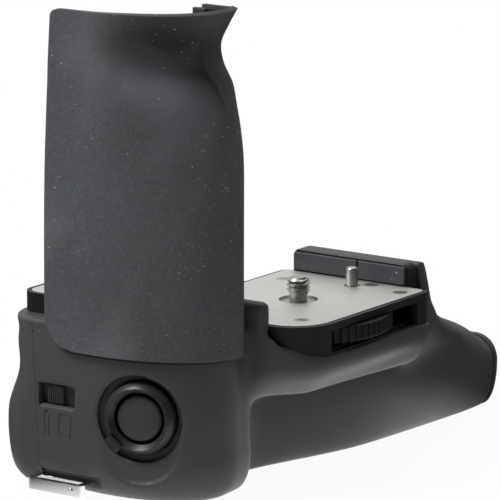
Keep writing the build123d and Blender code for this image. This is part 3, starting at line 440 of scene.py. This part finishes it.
def panel_point(u, z, inset, corner_r, low, high):
    """A point of the panel: u runs 0..1 from the left edge round the fold to the leg's end."""
    left, fold, back = spread(panel_stations, z)
    up = z - low
    if up < corner_r:
        left += corner_r - sqrt(max(corner_r ** 2 - (corner_r - up) ** 2, 0))
    down = high - z
    if down < panel_top_r:
        left += panel_top_r - sqrt(max(panel_top_r ** 2 - (panel_top_r - down) ** 2, 0))
    near = panel_near_y + inset
    front = fold - inset
    rear = back - inset
    if u < curve_from:
        k = u / curve_from
        x, y = left + (curve_x - left) * k, near
    elif u < fold_from:
        k = (u - curve_from) / curve_share * pi / 2
        x = curve_x + (front - curve_x) * sin(k)
        y = curve_y - (curve_y - near) * cos(k)
    elif u < leg_from:
        k = (u - fold_from) / fold_share
        ends = ((front, curve_y), (front, curve_y + (rear - curve_y) * 0.55),
                (front - fold_depth * 0.45, rear), (front - fold_depth, rear))
        w = ((1 - k) ** 3, 3 * k * (1 - k) ** 2, 3 * k * k * (1 - k), k ** 3)
        x = sum(p[0] * q for p, q in zip(ends, w))
        y = sum(p[1] * q for p, q in zip(ends, w))
    else:
        k = (u - leg_from) / leg_share
        x, y = front - fold_depth + (leg_end - front + fold_depth) * k, rear
    # The thumb-deep scoop under the top edge, and the soft ridge beside it
    if u < fold_from:
        deepest = 68.5 - 0.35 * (x + 6)
        tall = 9.0 if z > deepest else 6.5
        scoop = 4.6 * exp(-((x + 5) / 12.5) ** 2 - ((z - deepest) / tall) ** 2)
        ridge = 0.6 * exp(-((x + 12) / 7) ** 2 - ((z - 58) / 6) ** 2)
        push = scoop - ridge
        away = Vector((curve_x - x, curve_y - y)) if x > curve_x else Vector((0, 1))
        away.normalize()
        x += away.x * push
        y += away.y * push
    return x, y


def panel_sheet(name, inset, thick, low, high, corner_r, rows, columns):
    """A grid primitive bent into the J of the panel, then given its thickness."""
    mesh_clear()
    bpy.ops.mesh.primitive_grid_add(x_subdivisions=columns, y_subdivisions=rows, size=2)
    sheet = bpy.context.object
    sheet.name = name
    for v in sheet.data.vertices:
        u = (v.co.x + 1) / 2
        t = (v.co.y + 1) / 2
        t = t - 0.045 * sin(2 * pi * t)
        z = low + (high - low) * t
        x, y = panel_point(u, z, inset, corner_r, low, high)
        v.co = (x * mm, y * mm, z * mm)
    sheet.data.update()
    take(sheet)
    bpy.ops.object.mode_set(mode="EDIT")
    bpy.ops.mesh.select_all(action="SELECT")
    bpy.ops.mesh.remove_doubles(threshold=0.000002)
    mesh_clear()
    # The near face has to look at -Y, so that the thickness goes inwards
    facing = sum((p.normal.y * p.area for p in sheet.data.polygons if p.center.y < -0.058), 0)
    if facing > 0:
        take(sheet)
        bpy.ops.object.mode_set(mode="EDIT")
        bpy.ops.mesh.select_all(action="SELECT")
        bpy.ops.mesh.flip_normals()
        mesh_clear()
    press(sheet, "SOLIDIFY", thickness=thick * mm, offset=-1, use_even_offset=True)
    press(sheet, "BEVEL", width=0.24 * mm, segments=2, limit_method="ANGLE",
          angle_limit=radians(50))
    return sheet


panel = panel_sheet("hand_panel", 0.0, 1.36, -7.05, 82.3, 9.0, 110, 84)
# Below the ledge the return leg makes way for the block
cut(panel, block_piece("leg_room", (-12, -39.4, -12), (7.45, -20, -0.5)))
tab = block_piece("panel_tab", (-2.6, -44.2, 81.0), (1.4, -42.9, 83.7), 0.3)
panel = join([panel, tab])
finish(panel, "base", panel_rubber, 40, ["panel_skin"])

core = panel_sheet("hand_panel_core", 1.45, 1.3, -0.5, 81.6, 4.0, 60, 60)
# A dark sheet set just behind the panel and reaching 0.65 mm below its lower edge. It shows as a
# thin dark line under the edge: a painted shadow line where the panel stands proud of the block. It
# is joined to the core and takes its dark plastic.
shadow_sheet = panel_sheet("panel_shadow_sheet", 0.6, 1.1, -7.7, 10.0, 9.3, 40, 84)
cut(shadow_sheet, block_piece("shadow_sheet_room", (-14, -41.0, -12), (12, -20, 14)))
core = join([core, shadow_sheet])
finish(core, "base", inner_plastic, 40, ["panel_core"])

# The housing: block, bar and the valley under the camera seat


def shoulder_clay():
    """The shoulder behind the fence, as rings that run down onto the bar."""
    # Where along the bar, the top edge's x, the side's x, the top's height
    rings = [
        (34.7, 15.6, 18.6, 5.4), (37.6, 15.6, 18.5, 5.2), (39.0, 15.4, 18.2, 3.4),
        (40.2, 15.0, 17.7, -1.4),
        (43.0, 14.2, 16.8, -5.6), (47.0, 13.0, 15.4, -8.9), (52.0, 11.8, 13.6, -11.6),
        (60.0, 10.3, 11.4, -15.4), (70.0, 9.0, 9.4, -20.0),
    ]
    mesh_clear()
    bpy.ops.mesh.primitive_circle_add(vertices=8, radius=0.01, fill_type="NGON")
    clay = bpy.context.object
    clay.name = "shoulder_clay"
    take(clay)
    low_z = -24.0
    was = None
    for index, (y, top_x, mid_x, top_z) in enumerate(rings):
        mid_z = min(-12.0, top_z - 5.0)
        outline = [(-22, top_z), (top_x - 2.4, top_z), (top_x, top_z - 1.6), (mid_x, mid_z),
                   (mid_x - 2.4, mid_z - 4), (9.0, low_z), (-10, low_z - 2), (-22, low_z - 2)]
        if index:
            bpy.ops.object.mode_set(mode="EDIT")
            bpy.ops.mesh.extrude_region_move(TRANSFORM_OT_translate={"value": (0, 1e-4, 0)})
            bpy.ops.object.mode_set(mode="OBJECT")
        chosen = [v for v in clay.data.vertices if v.select]
        if not index:
            for v, (x, z) in zip(chosen, outline):
                v.co = (x * mm, y * mm, z * mm)
        else:
            for v in chosen:
                x, z = min(zip(outline, was), key=lambda pair: hypot(
                    pair[1][0] * mm - v.co.x, pair[1][1] * mm - v.co.z))[0]
                v.co = (x * mm, y * mm, z * mm)
        was = outline
    bpy.ops.object.mode_set(mode="EDIT")
    bpy.ops.mesh.select_all(action="SELECT")
    bpy.ops.mesh.normals_make_consistent(inside=False)
    mesh_clear()
    return clay


seam_x = -44.88
seam_gap = 0.09
seam_slant = 0.06
block_back_y = -30.5


def parted(piece, thumb_side, name):
    """The thumb side of the block, or the rest of the housing, cut apart at the slanted seam."""
    mesh_clear()
    side = piece.copy()
    side.data = piece.data.copy()
    side.name = name
    bpy.context.scene.collection.objects.link(side)
    gap = 0 if thumb_side else seam_gap
    tool = block_piece("seam_tool", (-75, -75, -60), (seam_x + gap, block_back_y + gap, 12))
    for v in tool.data.vertices:
        if v.co.x > -60 * mm:
            v.co.x -= seam_slant * v.co.z
    press(side, "BOOLEAN", object=tool, solver="EXACT",
          operation="INTERSECT" if thumb_side else "DIFFERENCE")
    bpy.data.objects.remove(tool)
    return side


def seat_collar():
    """The lip of housing that hugs the seat frame and climbs to the near rail."""
    path = []
    for cx, cy, r, first in ((10.8, -17.6, 12.0, -90), (19.8, 26.5, 3.0, 0), (-21.6, 26.5, 3.0, 90),
                             (-21.6, -26.6, 3.0, 180)):
        for step in range(17):
            a = radians(first + step * 90 / 16)
            path.append((cx, cy, r, cos(a), sin(a)))
    mesh_clear()
    bpy.ops.mesh.primitive_circle_add(vertices=len(path), radius=0.01, fill_type="NGON")
    collar = bpy.context.object
    collar.name = "seat_collar"
    take(collar)
    bpy.ops.object.mode_set(mode="EDIT")
    bpy.ops.mesh.select_all(action="SELECT")
    bpy.ops.mesh.extrude_region_move(TRANSFORM_OT_translate={"value": (0, 0, 1e-3)})
    bpy.ops.mesh.extrude_region_move(TRANSFORM_OT_translate={"value": (0, 0, 1e-3)})
    bpy.ops.object.mode_set(mode="OBJECT")
    for v in collar.data.vertices:
        turn = atan2(v.co.y, v.co.x) / (2 * pi) + 0.25
        level = round(v.co.z / 1e-3)
        cx, cy, r, nx, ny = path[round(turn * len(path)) % len(path)]
        x, y = cx + r * nx, cy + r * ny
        near = near_rail_share(x, y)
        if level:
            grow = 0.8 + 3.0 * near ** 2
            place = (x + grow * nx, y + grow * ny, collar_top(x, y) + 0.4 if level > 1 else -13.2)
        else:
            inner = max(r - 7.0, 0.5)
            place = ((cx + inner * nx) * (1 - near) + min(x, 6.0) * near,
                     (cy + inner * ny) * (1 - near) + (y - 3.5) * near, -20.0)
        v.co = [c * mm for c in place]
    take(collar)
    bpy.ops.object.mode_set(mode="EDIT")
    bpy.ops.mesh.select_all(action="SELECT")
    bpy.ops.mesh.normals_make_consistent(inside=False)
    mesh_clear()
    return collar


def near_rail_share(x, y):
    """1 under the near rail, falling to 0 along the seat's round corner."""
    return share(19.5, x, 8.7) if y < -20 else 0.0


def collar_top(x, y):
    """How high the housing stands against the seat frame."""
    lowest = -9.1
    if y > -20:
        return lowest
    return along(((10.8, 0.0), (13.9, -3.7), (16.8, -7.6), (19.3, -8.85), (22.0, lowest)), x)


def thumb_shift(z):
    """How far the thumb side moves inwards at each height."""
    return along(((-46.5, 2.2), (-42.0, 1.9), (-37.7, 1.8), (-34.2, 1.7), (-29.0, 1.3),
                  (-25.0, 0.8), (-20.4, 0.5), (-12.0, 0.6), (0.0, 0.6)), z)


clay = join([cad_copy("grip_body", "clay_body"), cad_copy("rear_shell", "clay_shell"),
             cad_copy("near_rail", "clay_rail"),
             block_piece("rail_swell", (-24, -33.5, -3), (11.6, -29.2, 6.3), 1.5), seat_collar(),
             shoulder_clay()])
press(clay, "REMESH", mode="VOXEL", voxel_size=0.62 * mm, adaptivity=0.0)
press(clay, "SMOOTH", factor=0.5, iterations=5)
valley = clay.vertex_groups.new(name="valley")
ledge = clay.vertex_groups.new(name="ledge")
shoulder = clay.vertex_groups.new(name="shoulder")
bulge_x = -46
seat_floor = -12.6
for v in clay.data.vertices:
    x, y, z = (c / mm for c in v.co)
    # The shoulder behind the fence is drawn in, and the thumb side moved to its outline
    if x > 17 and y > 30 and z > -26:
        v.co.x -= share(y, 30, 3) * share(z, -26, 7) * (x - 17) * 0.75 * mm
    if x < bulge_x:
        v.co.x += share(bulge_x, x, 7) * thumb_shift(z) * mm
        if z > -5 and y < -36:
            ledge.add([v.index], share(z, -5, 2) * share(bulge_x, x, 3), "REPLACE")
    if y > 38 and x > 0 and z > -30:
        shoulder.add([v.index], share(y, 38, 3) * share(x, 0, 5) * share(z, -30, 4), "REPLACE")
    # The valley is smoothed below the seat and the shoulder, but not inside the battery chamber
    ceiling = seat_floor
    if y > 38.5:
        ceiling += share(y, 38.5, 3) * 14
    if x > 16 and y > 31:
        ceiling = max(ceiling, -4.0)
    if y < 33.5:
        ceiling = max(ceiling, collar_top(x, y) - 0.3)
    deep = share(x, -7, 8) * share(y, -37, 4)
    deep *= share(ceiling, z, 3) * share(z, -45.6, 4)
    deep *= share(86, y, 4)
    inside = -43 < x < -10.8 and -20 < y < 90 and -45 < z < -28.2
    if deep > 0 and not inside:
        valley.add([v.index], deep, "REPLACE")
for group, rounds in (("valley", 90), ("ledge", 45), ("shoulder", 110)):
    press(clay, "SMOOTH", factor=0.5, iterations=rounds, vertex_group=group)
triangles = sum(len(p.vertices) - 2 for p in clay.data.polygons)
most_triangles = 185000
press(clay, "DECIMATE", ratio=min(1.0, most_triangles / triangles))
housing = parted(clay, False, "housing")
thumb_shell = parted(clay, True, "thumb_shell")
bpy.data.objects.remove(clay)
finish(thumb_shell, "base", block_plastic, 38, ["rear_shell"])

button_turn = radians(16)
button_frame = Matrix.Translation(Vector((-11.9, -55.8, -23.1)) * mm) @ Matrix((
    (cos(button_turn), 0, sin(button_turn), 0),
    (sin(button_turn), 0, -cos(button_turn), 0),
    (0, 1, 0, 0),
    (0, 0, 0, 1)))


def on_button_plane(piece):
    piece.matrix_world = button_frame
    place_in_mesh(piece)
    return piece


recess = on_button_plane(turned("recess_tool", [(0, -3.3), (11.7, -3.3), (12.1, 9), (0, 9)], 128))
carve(housing, recess)
mesh_clear()
bpy.ops.mesh.primitive_uv_sphere_add(segments=96, ring_count=64, radius=1)
scoop = bpy.context.object
scoop.name = "scoop_tool"
scoop.scale = (16.4 * mm, 21.0 * mm, 5.0 * mm)
scoop.location = (0.3 * mm, -3.6 * mm, 3.85 * mm)
place_in_mesh(scoop)
carve(housing, on_button_plane(scoop))
carve(housing, block_piece("strap_tool", (-44.2, -60, -60), (-23.1, -55.7, -40.0), 0.2))
carve(housing, block_piece("window_tool", (-42.7, -60, -22.7), (-31.0, -53, -17.1), 0.25))
lip = block_piece("window_lip_tool", (-42.5, -1.3, -1.3), (-31.2, 1.3, 1.3))
lip.location = (0, -58.0 * mm, -22.1 * mm)
lip.rotation_euler = (radians(38), 0, 0)
place_in_mesh(lip)
carve(housing, lip)


near_face_y = -57.52


def groove(name, points, depth=0.26):
    """A closed line engraved in the near face, as a round tool that follows it."""
    line = bpy.data.curves.new(name, "CURVE")
    line.dimensions = "3D"
    line.bevel_depth = depth * mm
    line.bevel_resolution = 1
    spline = line.splines.new("POLY")
    spline.points.add(len(points) - 1)
    for point, (x, z) in zip(spline.points, points):
        point.co = (x * mm, near_face_y * mm, z * mm, 1)
    spline.use_cyclic_u = True
    tool = bpy.data.objects.new(name, line)
    bpy.context.scene.collection.objects.link(tool)
    take(tool)
    bpy.ops.object.convert(target="MESH")
    return bpy.context.object


cell_sign = [(-40.75, -30.7), (-39.35, -30.7), (-39.35, -24.9), (-39.75, -24.8), (-39.75, -24.2),
             (-40.35, -24.2), (-40.35, -24.8), (-40.75, -24.9)]
pack_sign = [(-35.9, -30.1), (-35.3, -30.2), (-34.7, -30.6), (-34.0, -30.5), (-33.4, -30.9),
             (-32.6, -30.8), (-32.3, -30.3), (-32.25, -27.6), (-32.45, -27.1), (-32.2, -26.7),
             (-32.2, -25.2), (-32.6, -24.8), (-35.6, -24.7), (-36.0, -25.1), (-36.0, -26.5),
             (-35.8, -26.9), (-36.05, -27.4), (-36.1, -29.7)]
pack_wave = [(-35.2, -26.5), (-34.6, -26.0), (-33.9, -26.3), (-33.4, -27.0), (-32.9, -26.8),
             (-32.9, -26.7), (-33.4, -26.9), (-33.9, -26.2), (-34.6, -25.9), (-35.2, -26.4)]
carve(housing, groove("cell_sign_tool", cell_sign))
carve(housing, groove("pack_sign_tool", pack_sign))
carve(housing, groove("pack_wave_tool", pack_wave))
finish(housing, "base", block_plastic, 38, ["grip_body", "near_rail"])

# The release button, its lock ring and their springs

ring = turned("release_lock_ring", [
    (6.9, -3.1), (9.62, -3.1), (9.66, -1.3), (9.55, -1.08), (8.45, 0.36), (8.3, 0.47),
    (8.1, 0.47), (7.95, 0.36), (7.05, -1.1), (6.9, -1.26), (6.9, -3.1)], 144)
tab_turn = (0, 0, radians(225))
gate = block_piece("gate_tool", (7.5, -2.3, -1.25), (12, 2.3, 3))
gate.rotation_euler = tab_turn
place_in_mesh(gate)
cut(ring, gate)
thumb_tab = block_piece("ring_tab", (8.5, -2.2, -2.6), (11.2, 2.2, -0.75), 0.3)
thumb_tab.rotation_euler = tab_turn
place_in_mesh(thumb_tab)
ring = join([ring, thumb_tab])
press(ring, "BEVEL", width=0.08 * mm, segments=2, limit_method="ANGLE", angle_limit=radians(50))
on_button_plane(ring)
finish(ring, "ring", ring_gloss, 30, ["lock_ring"])

dome = [(0, -11.6), (1.9, -11.6), (2.0, -11.4), (2.0, -6.2), (5.9, -6.2), (6.1, -6.0), (6.1, -1.75),
        (6.03, -1.45), (5.9, -1.2), (5.6, -0.98), (5.0, -0.82), (4.0, -0.66), (2.6, -0.54),
        (1.2, -0.5), (0, -0.49)]
button = on_button_plane(turned("release_button_dome", dome, 128))
finish(button, "release", button_satin, 50, ["release_button"])


def coil(name, centre, turn, r, wire, pitch, turns, steps=28):
    """A coil spring: a circle of wire carried round by the Screw modifier."""
    mesh_clear()
    bpy.ops.mesh.primitive_circle_add(vertices=10, radius=wire * mm, location=(r * mm, 0, 0),
                                      rotation=(pi / 2, 0, 0), fill_type="NGON")
    spring = bpy.context.object
    spring.name = name
    place_in_mesh(spring)
    press(spring, "SCREW", angle=2 * pi * turns, screw_offset=pitch * turns * mm,
          steps=int(steps * turns), render_steps=int(steps * turns), axis="Z",
          use_merge_vertices=False)
    spring.location = Vector(centre) * mm
    spring.rotation_euler = turn
    place_in_mesh(spring)
    take(spring)
    bpy.ops.object.mode_set(mode="EDIT")
    bpy.ops.mesh.select_all(action="SELECT")
    bpy.ops.mesh.normals_make_consistent(inside=False)
    mesh_clear()
    return spring


spring = coil("release_spring", (0, 0, -12.05), (0, 0, 0), 4.0, 0.3, 1.08, 4)
spring.matrix_world = button_frame
place_in_mesh(spring)
finish(spring, "base", spring_wire, 60, ["button_spring"])

cell_row = (-34.35, -19.65)
coils = []
for i, x in enumerate(cell_row):
    coils.append(coil(f"tray_spring_{i}", (x, -16.7, -36.6), (-pi / 2, 0, 0), 3.7, 0.25, 0.5, 2.5))
finish(join(coils), "tray", spring_wire, 60, ["tray_springs"])

# The camera seat

for row in (
    ("seat_frame", "base", seat_plastic, "housing", 0.45, 3),
    ("seat_base", "base", inner_plastic, "housing", 0.3),
    ("camera_plate", "base", plate_metal, "plate_metal", 0.18),
    ("plate_screws", "base", screw_steel, "steel_screws", 0.12),
    ("locating_pin", "base", screw_steel, "bright_steel", 0.1),
    ("wheel_washer", "base", screw_steel, "bright_steel", 0.1),
    ("thumbwheel", "wheel", wheel_plastic, "wheel_plastic", 0.22),
):
    eased(*row)

screw = turned("camera_screw", [
    (0, -9.6), (2.7, -9.6), (3.0, -9.3), (3.0, -2.0), (4.8, -2.0), (5.0, -1.8), (5.0, -0.75),
    (4.8, -0.55), (3.4, -0.5), (2.35, -0.45), (2.35, 1.7), (2.62, 1.95), (2.62, 5.6), (2.5, 5.85),
    (2.2, 5.97), (0, 6.0)], 72)
mesh_clear()
bpy.ops.mesh.primitive_circle_add(vertices=4, radius=1 * mm, fill_type="NGON")
thread = bpy.context.object
thread.name = "thread"
thread_root_r = 2.45
thread_pitch = 1.27
ridge_profile = ((thread_root_r, -0.56), (3.17, -0.1), (3.17, 0.1), (thread_root_r, 0.56))
for v, (r, z) in zip(thread.data.vertices, ridge_profile):
    v.co = (r * mm, 0, z * mm)
turns = 3.0
press(thread, "SCREW", angle=2 * pi * turns, screw_offset=thread_pitch * turns * mm,
      steps=int(48 * turns), render_steps=int(48 * turns), axis="Z", use_merge_vertices=False)
for v in thread.data.vertices:
    climb = v.co.z / mm / (thread_pitch * turns)
    fade = min(1.0, max(0.0, climb * 9 + 0.4), max(0.0, (1 - climb) * 9 + 0.4))
    r = hypot(v.co.x, v.co.y) / mm
    k = (thread_root_r + (r - thread_root_r) * fade) / r
    v.co.x *= k
    v.co.y *= k
thread.location = (0, 0, 1.95 * mm)
place_in_mesh(thread)
bpy.ops.object.mode_set(mode="EDIT")
bpy.ops.mesh.select_all(action="SELECT")
bpy.ops.mesh.normals_make_consistent(inside=False)
mesh_clear()
screw = join([screw, thread])
finish(screw, "wheel", screw_steel, 34, ["tripod_screw"])

# Fence and contact tower

for row in (
    ("fence_insert", "base", seat_plastic, "housing", 0.4, 3),
    ("fence_pad_1", "base", pad_rubber, "pad_rubber", 0.3, 3),
    ("fence_pad_2", "base", pad_rubber, "pad_rubber", 0.3, 3),
    ("contact_tower", "base", inner_plastic, "wheel_plastic", 0.35, 3),
    ("tower_plate", "base", plate_metal, "plate_metal", 0.15),
    ("contact_pins", "contact_row", contact_gold, "gold_contacts", 0.12),
):
    eased(*row)

# Small pieces on the near face

knob = [block_piece("selector_thumb", (-40.6, -56.3, -22.35), (-35.4, -53.4, -17.45), 0.25),
        block_piece("selector_plate", (-46.2, -55.0, -23.9), (-30.8, -53.8, -15.9), 0.1)]
rib_pitch = 0.62
for i in range(8):
    x = -40.2 + i * rib_pitch
    knob.append(block_piece(f"selector_rib_{i}", (x, -56.55, -22.1), (x + 0.32, -56.2, -17.7),
                            0.1, 2))
finish(join(knob), "selector", knob_plastic, 40, ["selector_knob"])
for row in (
    ("strap_lug", "base", lug_chrome, "lug_chrome", 0.5, 4),
    ("lug_rivet", "base", lug_chrome, "lug_chrome", 0.15),
    ("shell_screws", "base", dark_screw, "steel_screws", 0.1),
    ("panel_bracket", "base", plate_metal, "plate_metal", 0.12),
    ("bracket_screws", "base", dark_screw, "steel_screws", 0.1),
    ("button_housing", "base", inner_plastic, "wheel_plastic", 0.12),
):
    eased(*row)

# Battery tray, end cap and the inside

for row in (
    ("battery_tray", "tray", inner_plastic, "wheel_plastic", 0.15),
    ("end_cap", "tray", block_plastic, "housing", 0.25),
    ("lock_knob", "cap_lock", seat_plastic, "wheel_plastic", 0.3, 3),
    ("tripod_bush", "base", bush_brass, "brass_bush", 0.15),
    ("aa_cell_1", "tray", cell_skin, "cell_wrap", 0.4, 3),
    ("aa_cell_2", "tray", cell_skin, "cell_wrap", 0.4, 3),
    ("aa_cell_3", "tray", cell_skin, "cell_wrap", 0.4, 3),
    ("aa_cell_4", "tray", cell_skin, "cell_wrap", 0.4, 3),
    ("tray_terminals", "tray", contact_gold, "gold_contacts", 0.1),
    ("tray_link", "tray", spring_wire, "spring_steel", 0.05),
    ("cap_seal", "tray", pad_rubber, "pad_rubber", 0.08),
    ("chamber_contacts", "base", contact_gold, "gold_contacts", 0.12),
    ("circuit_board", "base", board_skin, "board_green", 0.06),
    ("board_chips", "base", wheel_plastic, "ring_gloss", 0.08),
    ("board_screws", "base", dark_screw, "steel_screws", 0.08),
    ("shutter_switch", "base", wheel_plastic, "ring_gloss", 0.2),
    ("selector_switch", "base", wheel_plastic, "ring_gloss", 0.15),
):
    eased(*row)

# Floor, light and camera


def floor_finish():
    """A pale floor with the object's shadow near it, plain white far off.

    In reflections it is a bright sheet close to the object and dark beyond it.
    """
    f = Finish("floor_paper", (0.93, 0.93, 0.93), 0.7)
    tree = f.tree
    far = tree.nodes.new("ShaderNodeVectorMath")
    far.operation = "LENGTH"
    tree.links.new(f.where, far.inputs[0])
    reach = f.ramp(far.outputs["Value"], 0.08, 0.18, 0.95, 1.0)
    # Glossy rays see the floor glow at 1.6 close to the object, fading to 0.04 further off: a
    # painted reflection on the housing's lower sides.
    close = f.ramp(far.outputs["Value"], 0.075, 0.105, 1.6, 0.04)
    white = tree.nodes.new("ShaderNodeEmission")
    path = tree.nodes.new("ShaderNodeLightPath")
    both = tree.nodes.new("ShaderNodeMath")
    both.operation = "MAXIMUM"
    tree.links.new(f.times(reach, path.outputs["Is Camera Ray"]), both.inputs[0])
    tree.links.new(path.outputs["Is Glossy Ray"], both.inputs[1])
    mask = both.outputs[0]
    shine = tree.nodes.new("ShaderNodeMix")
    tree.links.new(path.outputs["Is Glossy Ray"], shine.inputs["Factor"])
    shine.inputs["A"].default_value = 1.0
    tree.links.new(close, shine.inputs["B"])
    tree.links.new(shine.outputs["Result"], white.inputs["Strength"])
    mix = tree.nodes.new("ShaderNodeMixShader")
    tree.links.new(mask, mix.inputs[0])
    tree.links.new(f.shader.outputs[0], mix.inputs[1])
    tree.links.new(white.outputs[0], mix.inputs[2])
    tree.links.new(mix.outputs[0], tree.nodes["Material Output"].inputs[0])
    return f.material


mesh_clear()
bpy.ops.mesh.primitive_circle_add(vertices=64, radius=6, fill_type="NGON",
                                  location=(0, 0, -46.6 * mm))
floor = bpy.context.object
floor.name = "floor"
place_in_mesh(floor)
floor.data.materials.append(floor_finish())

world = bpy.data.worlds.new("studio")
bpy.context.scene.world = world
world.use_nodes = True
sky = world.node_tree.nodes["Background"]
sky.inputs["Color"].default_value = (1, 1, 1, 1)
seen = world.node_tree.nodes.new("ShaderNodeLightPath")
either = world.node_tree.nodes.new("ShaderNodeMath")
either.operation = "MAXIMUM"
also = world.node_tree.nodes.new("ShaderNodeMath")
also.operation = "MAXIMUM"
level = world.node_tree.nodes.new("ShaderNodeMapRange")
facing = world.node_tree.nodes.new("ShaderNodeVectorMath")
facing.operation = "DOT_PRODUCT"
facing.inputs[1].default_value = (-0.55, 0.80, 0.24)
fade = world.node_tree.nodes.new("ShaderNodeMapRange")
fade.interpolation_type = "SMOOTHSTEP"
for key, number in (("From Min", 0.1), ("From Max", 1.0), ("To Min", 0.08), ("To Max", 0.6)):
    fade.inputs[key].default_value = number
way = world.node_tree.nodes.new("ShaderNodeTexCoord")
world.node_tree.links.new(way.outputs["Generated"], facing.inputs[0])
world.node_tree.links.new(facing.outputs["Value"], fade.inputs["Value"])
world.node_tree.links.new(fade.outputs["Result"], level.inputs["To Min"])
level.inputs["To Max"].default_value = 1.0
world.node_tree.links.new(seen.outputs["Is Camera Ray"], either.inputs[0])
world.node_tree.links.new(seen.outputs["Is Transmission Ray"], either.inputs[1])
world.node_tree.links.new(either.outputs[0], level.inputs["Value"])
world.node_tree.links.new(level.outputs["Result"], sky.inputs["Strength"])


def softbox(name, place, aim, size, power):
    lamp = bpy.data.lights.new(name, "AREA")
    lamp.shape = "RECTANGLE"
    lamp.size, lamp.size_y = size
    lamp.energy = power
    holder = bpy.data.objects.new(name, lamp)
    bpy.context.scene.collection.objects.link(holder)
    holder.location = place
    holder.rotation_euler = (Vector(aim) - Vector(place)).to_track_quat("-Z", "Y").to_euler()


middle = (0, 0, 0)
softbox("key_softbox", (-0.5, -0.6, 1.05), middle, (0.5, 0.5), 18)
softbox("top_softbox", (-0.2, 0.35, 1.0), middle, (0.7, 0.7), 4.5)

# The photo's view: its angles, its lens in pixels and where the origin falls in its 500 pixels
azimuth, elevation = 35, 12.2
photo_px = 500
lens_px = 4536.0
origin_px = (298.4, 299.0)
view_angle = Euler((radians(90 - elevation), 0, radians(azimuth)))
look = view_angle.to_matrix()
right, up, back = look.col[0], look.col[1], look.col[2]
eye = 1.2 * (back - right * (origin_px[0] - 250) / lens_px + up * (origin_px[1] - 250) / lens_px)
lens = bpy.data.cameras.new("photo_camera")
lens.sensor_width = 36
lens.lens = lens_px / photo_px * lens.sensor_width
lens.clip_start, lens.clip_end = 0.05, 50
camera = bpy.data.objects.new("photo_camera", lens)
bpy.context.scene.collection.objects.link(camera)
camera.location = eye
camera.rotation_euler = view_angle
bpy.context.scene.camera = camera
bpy.context.scene.view_settings.view_transform = "Standard"
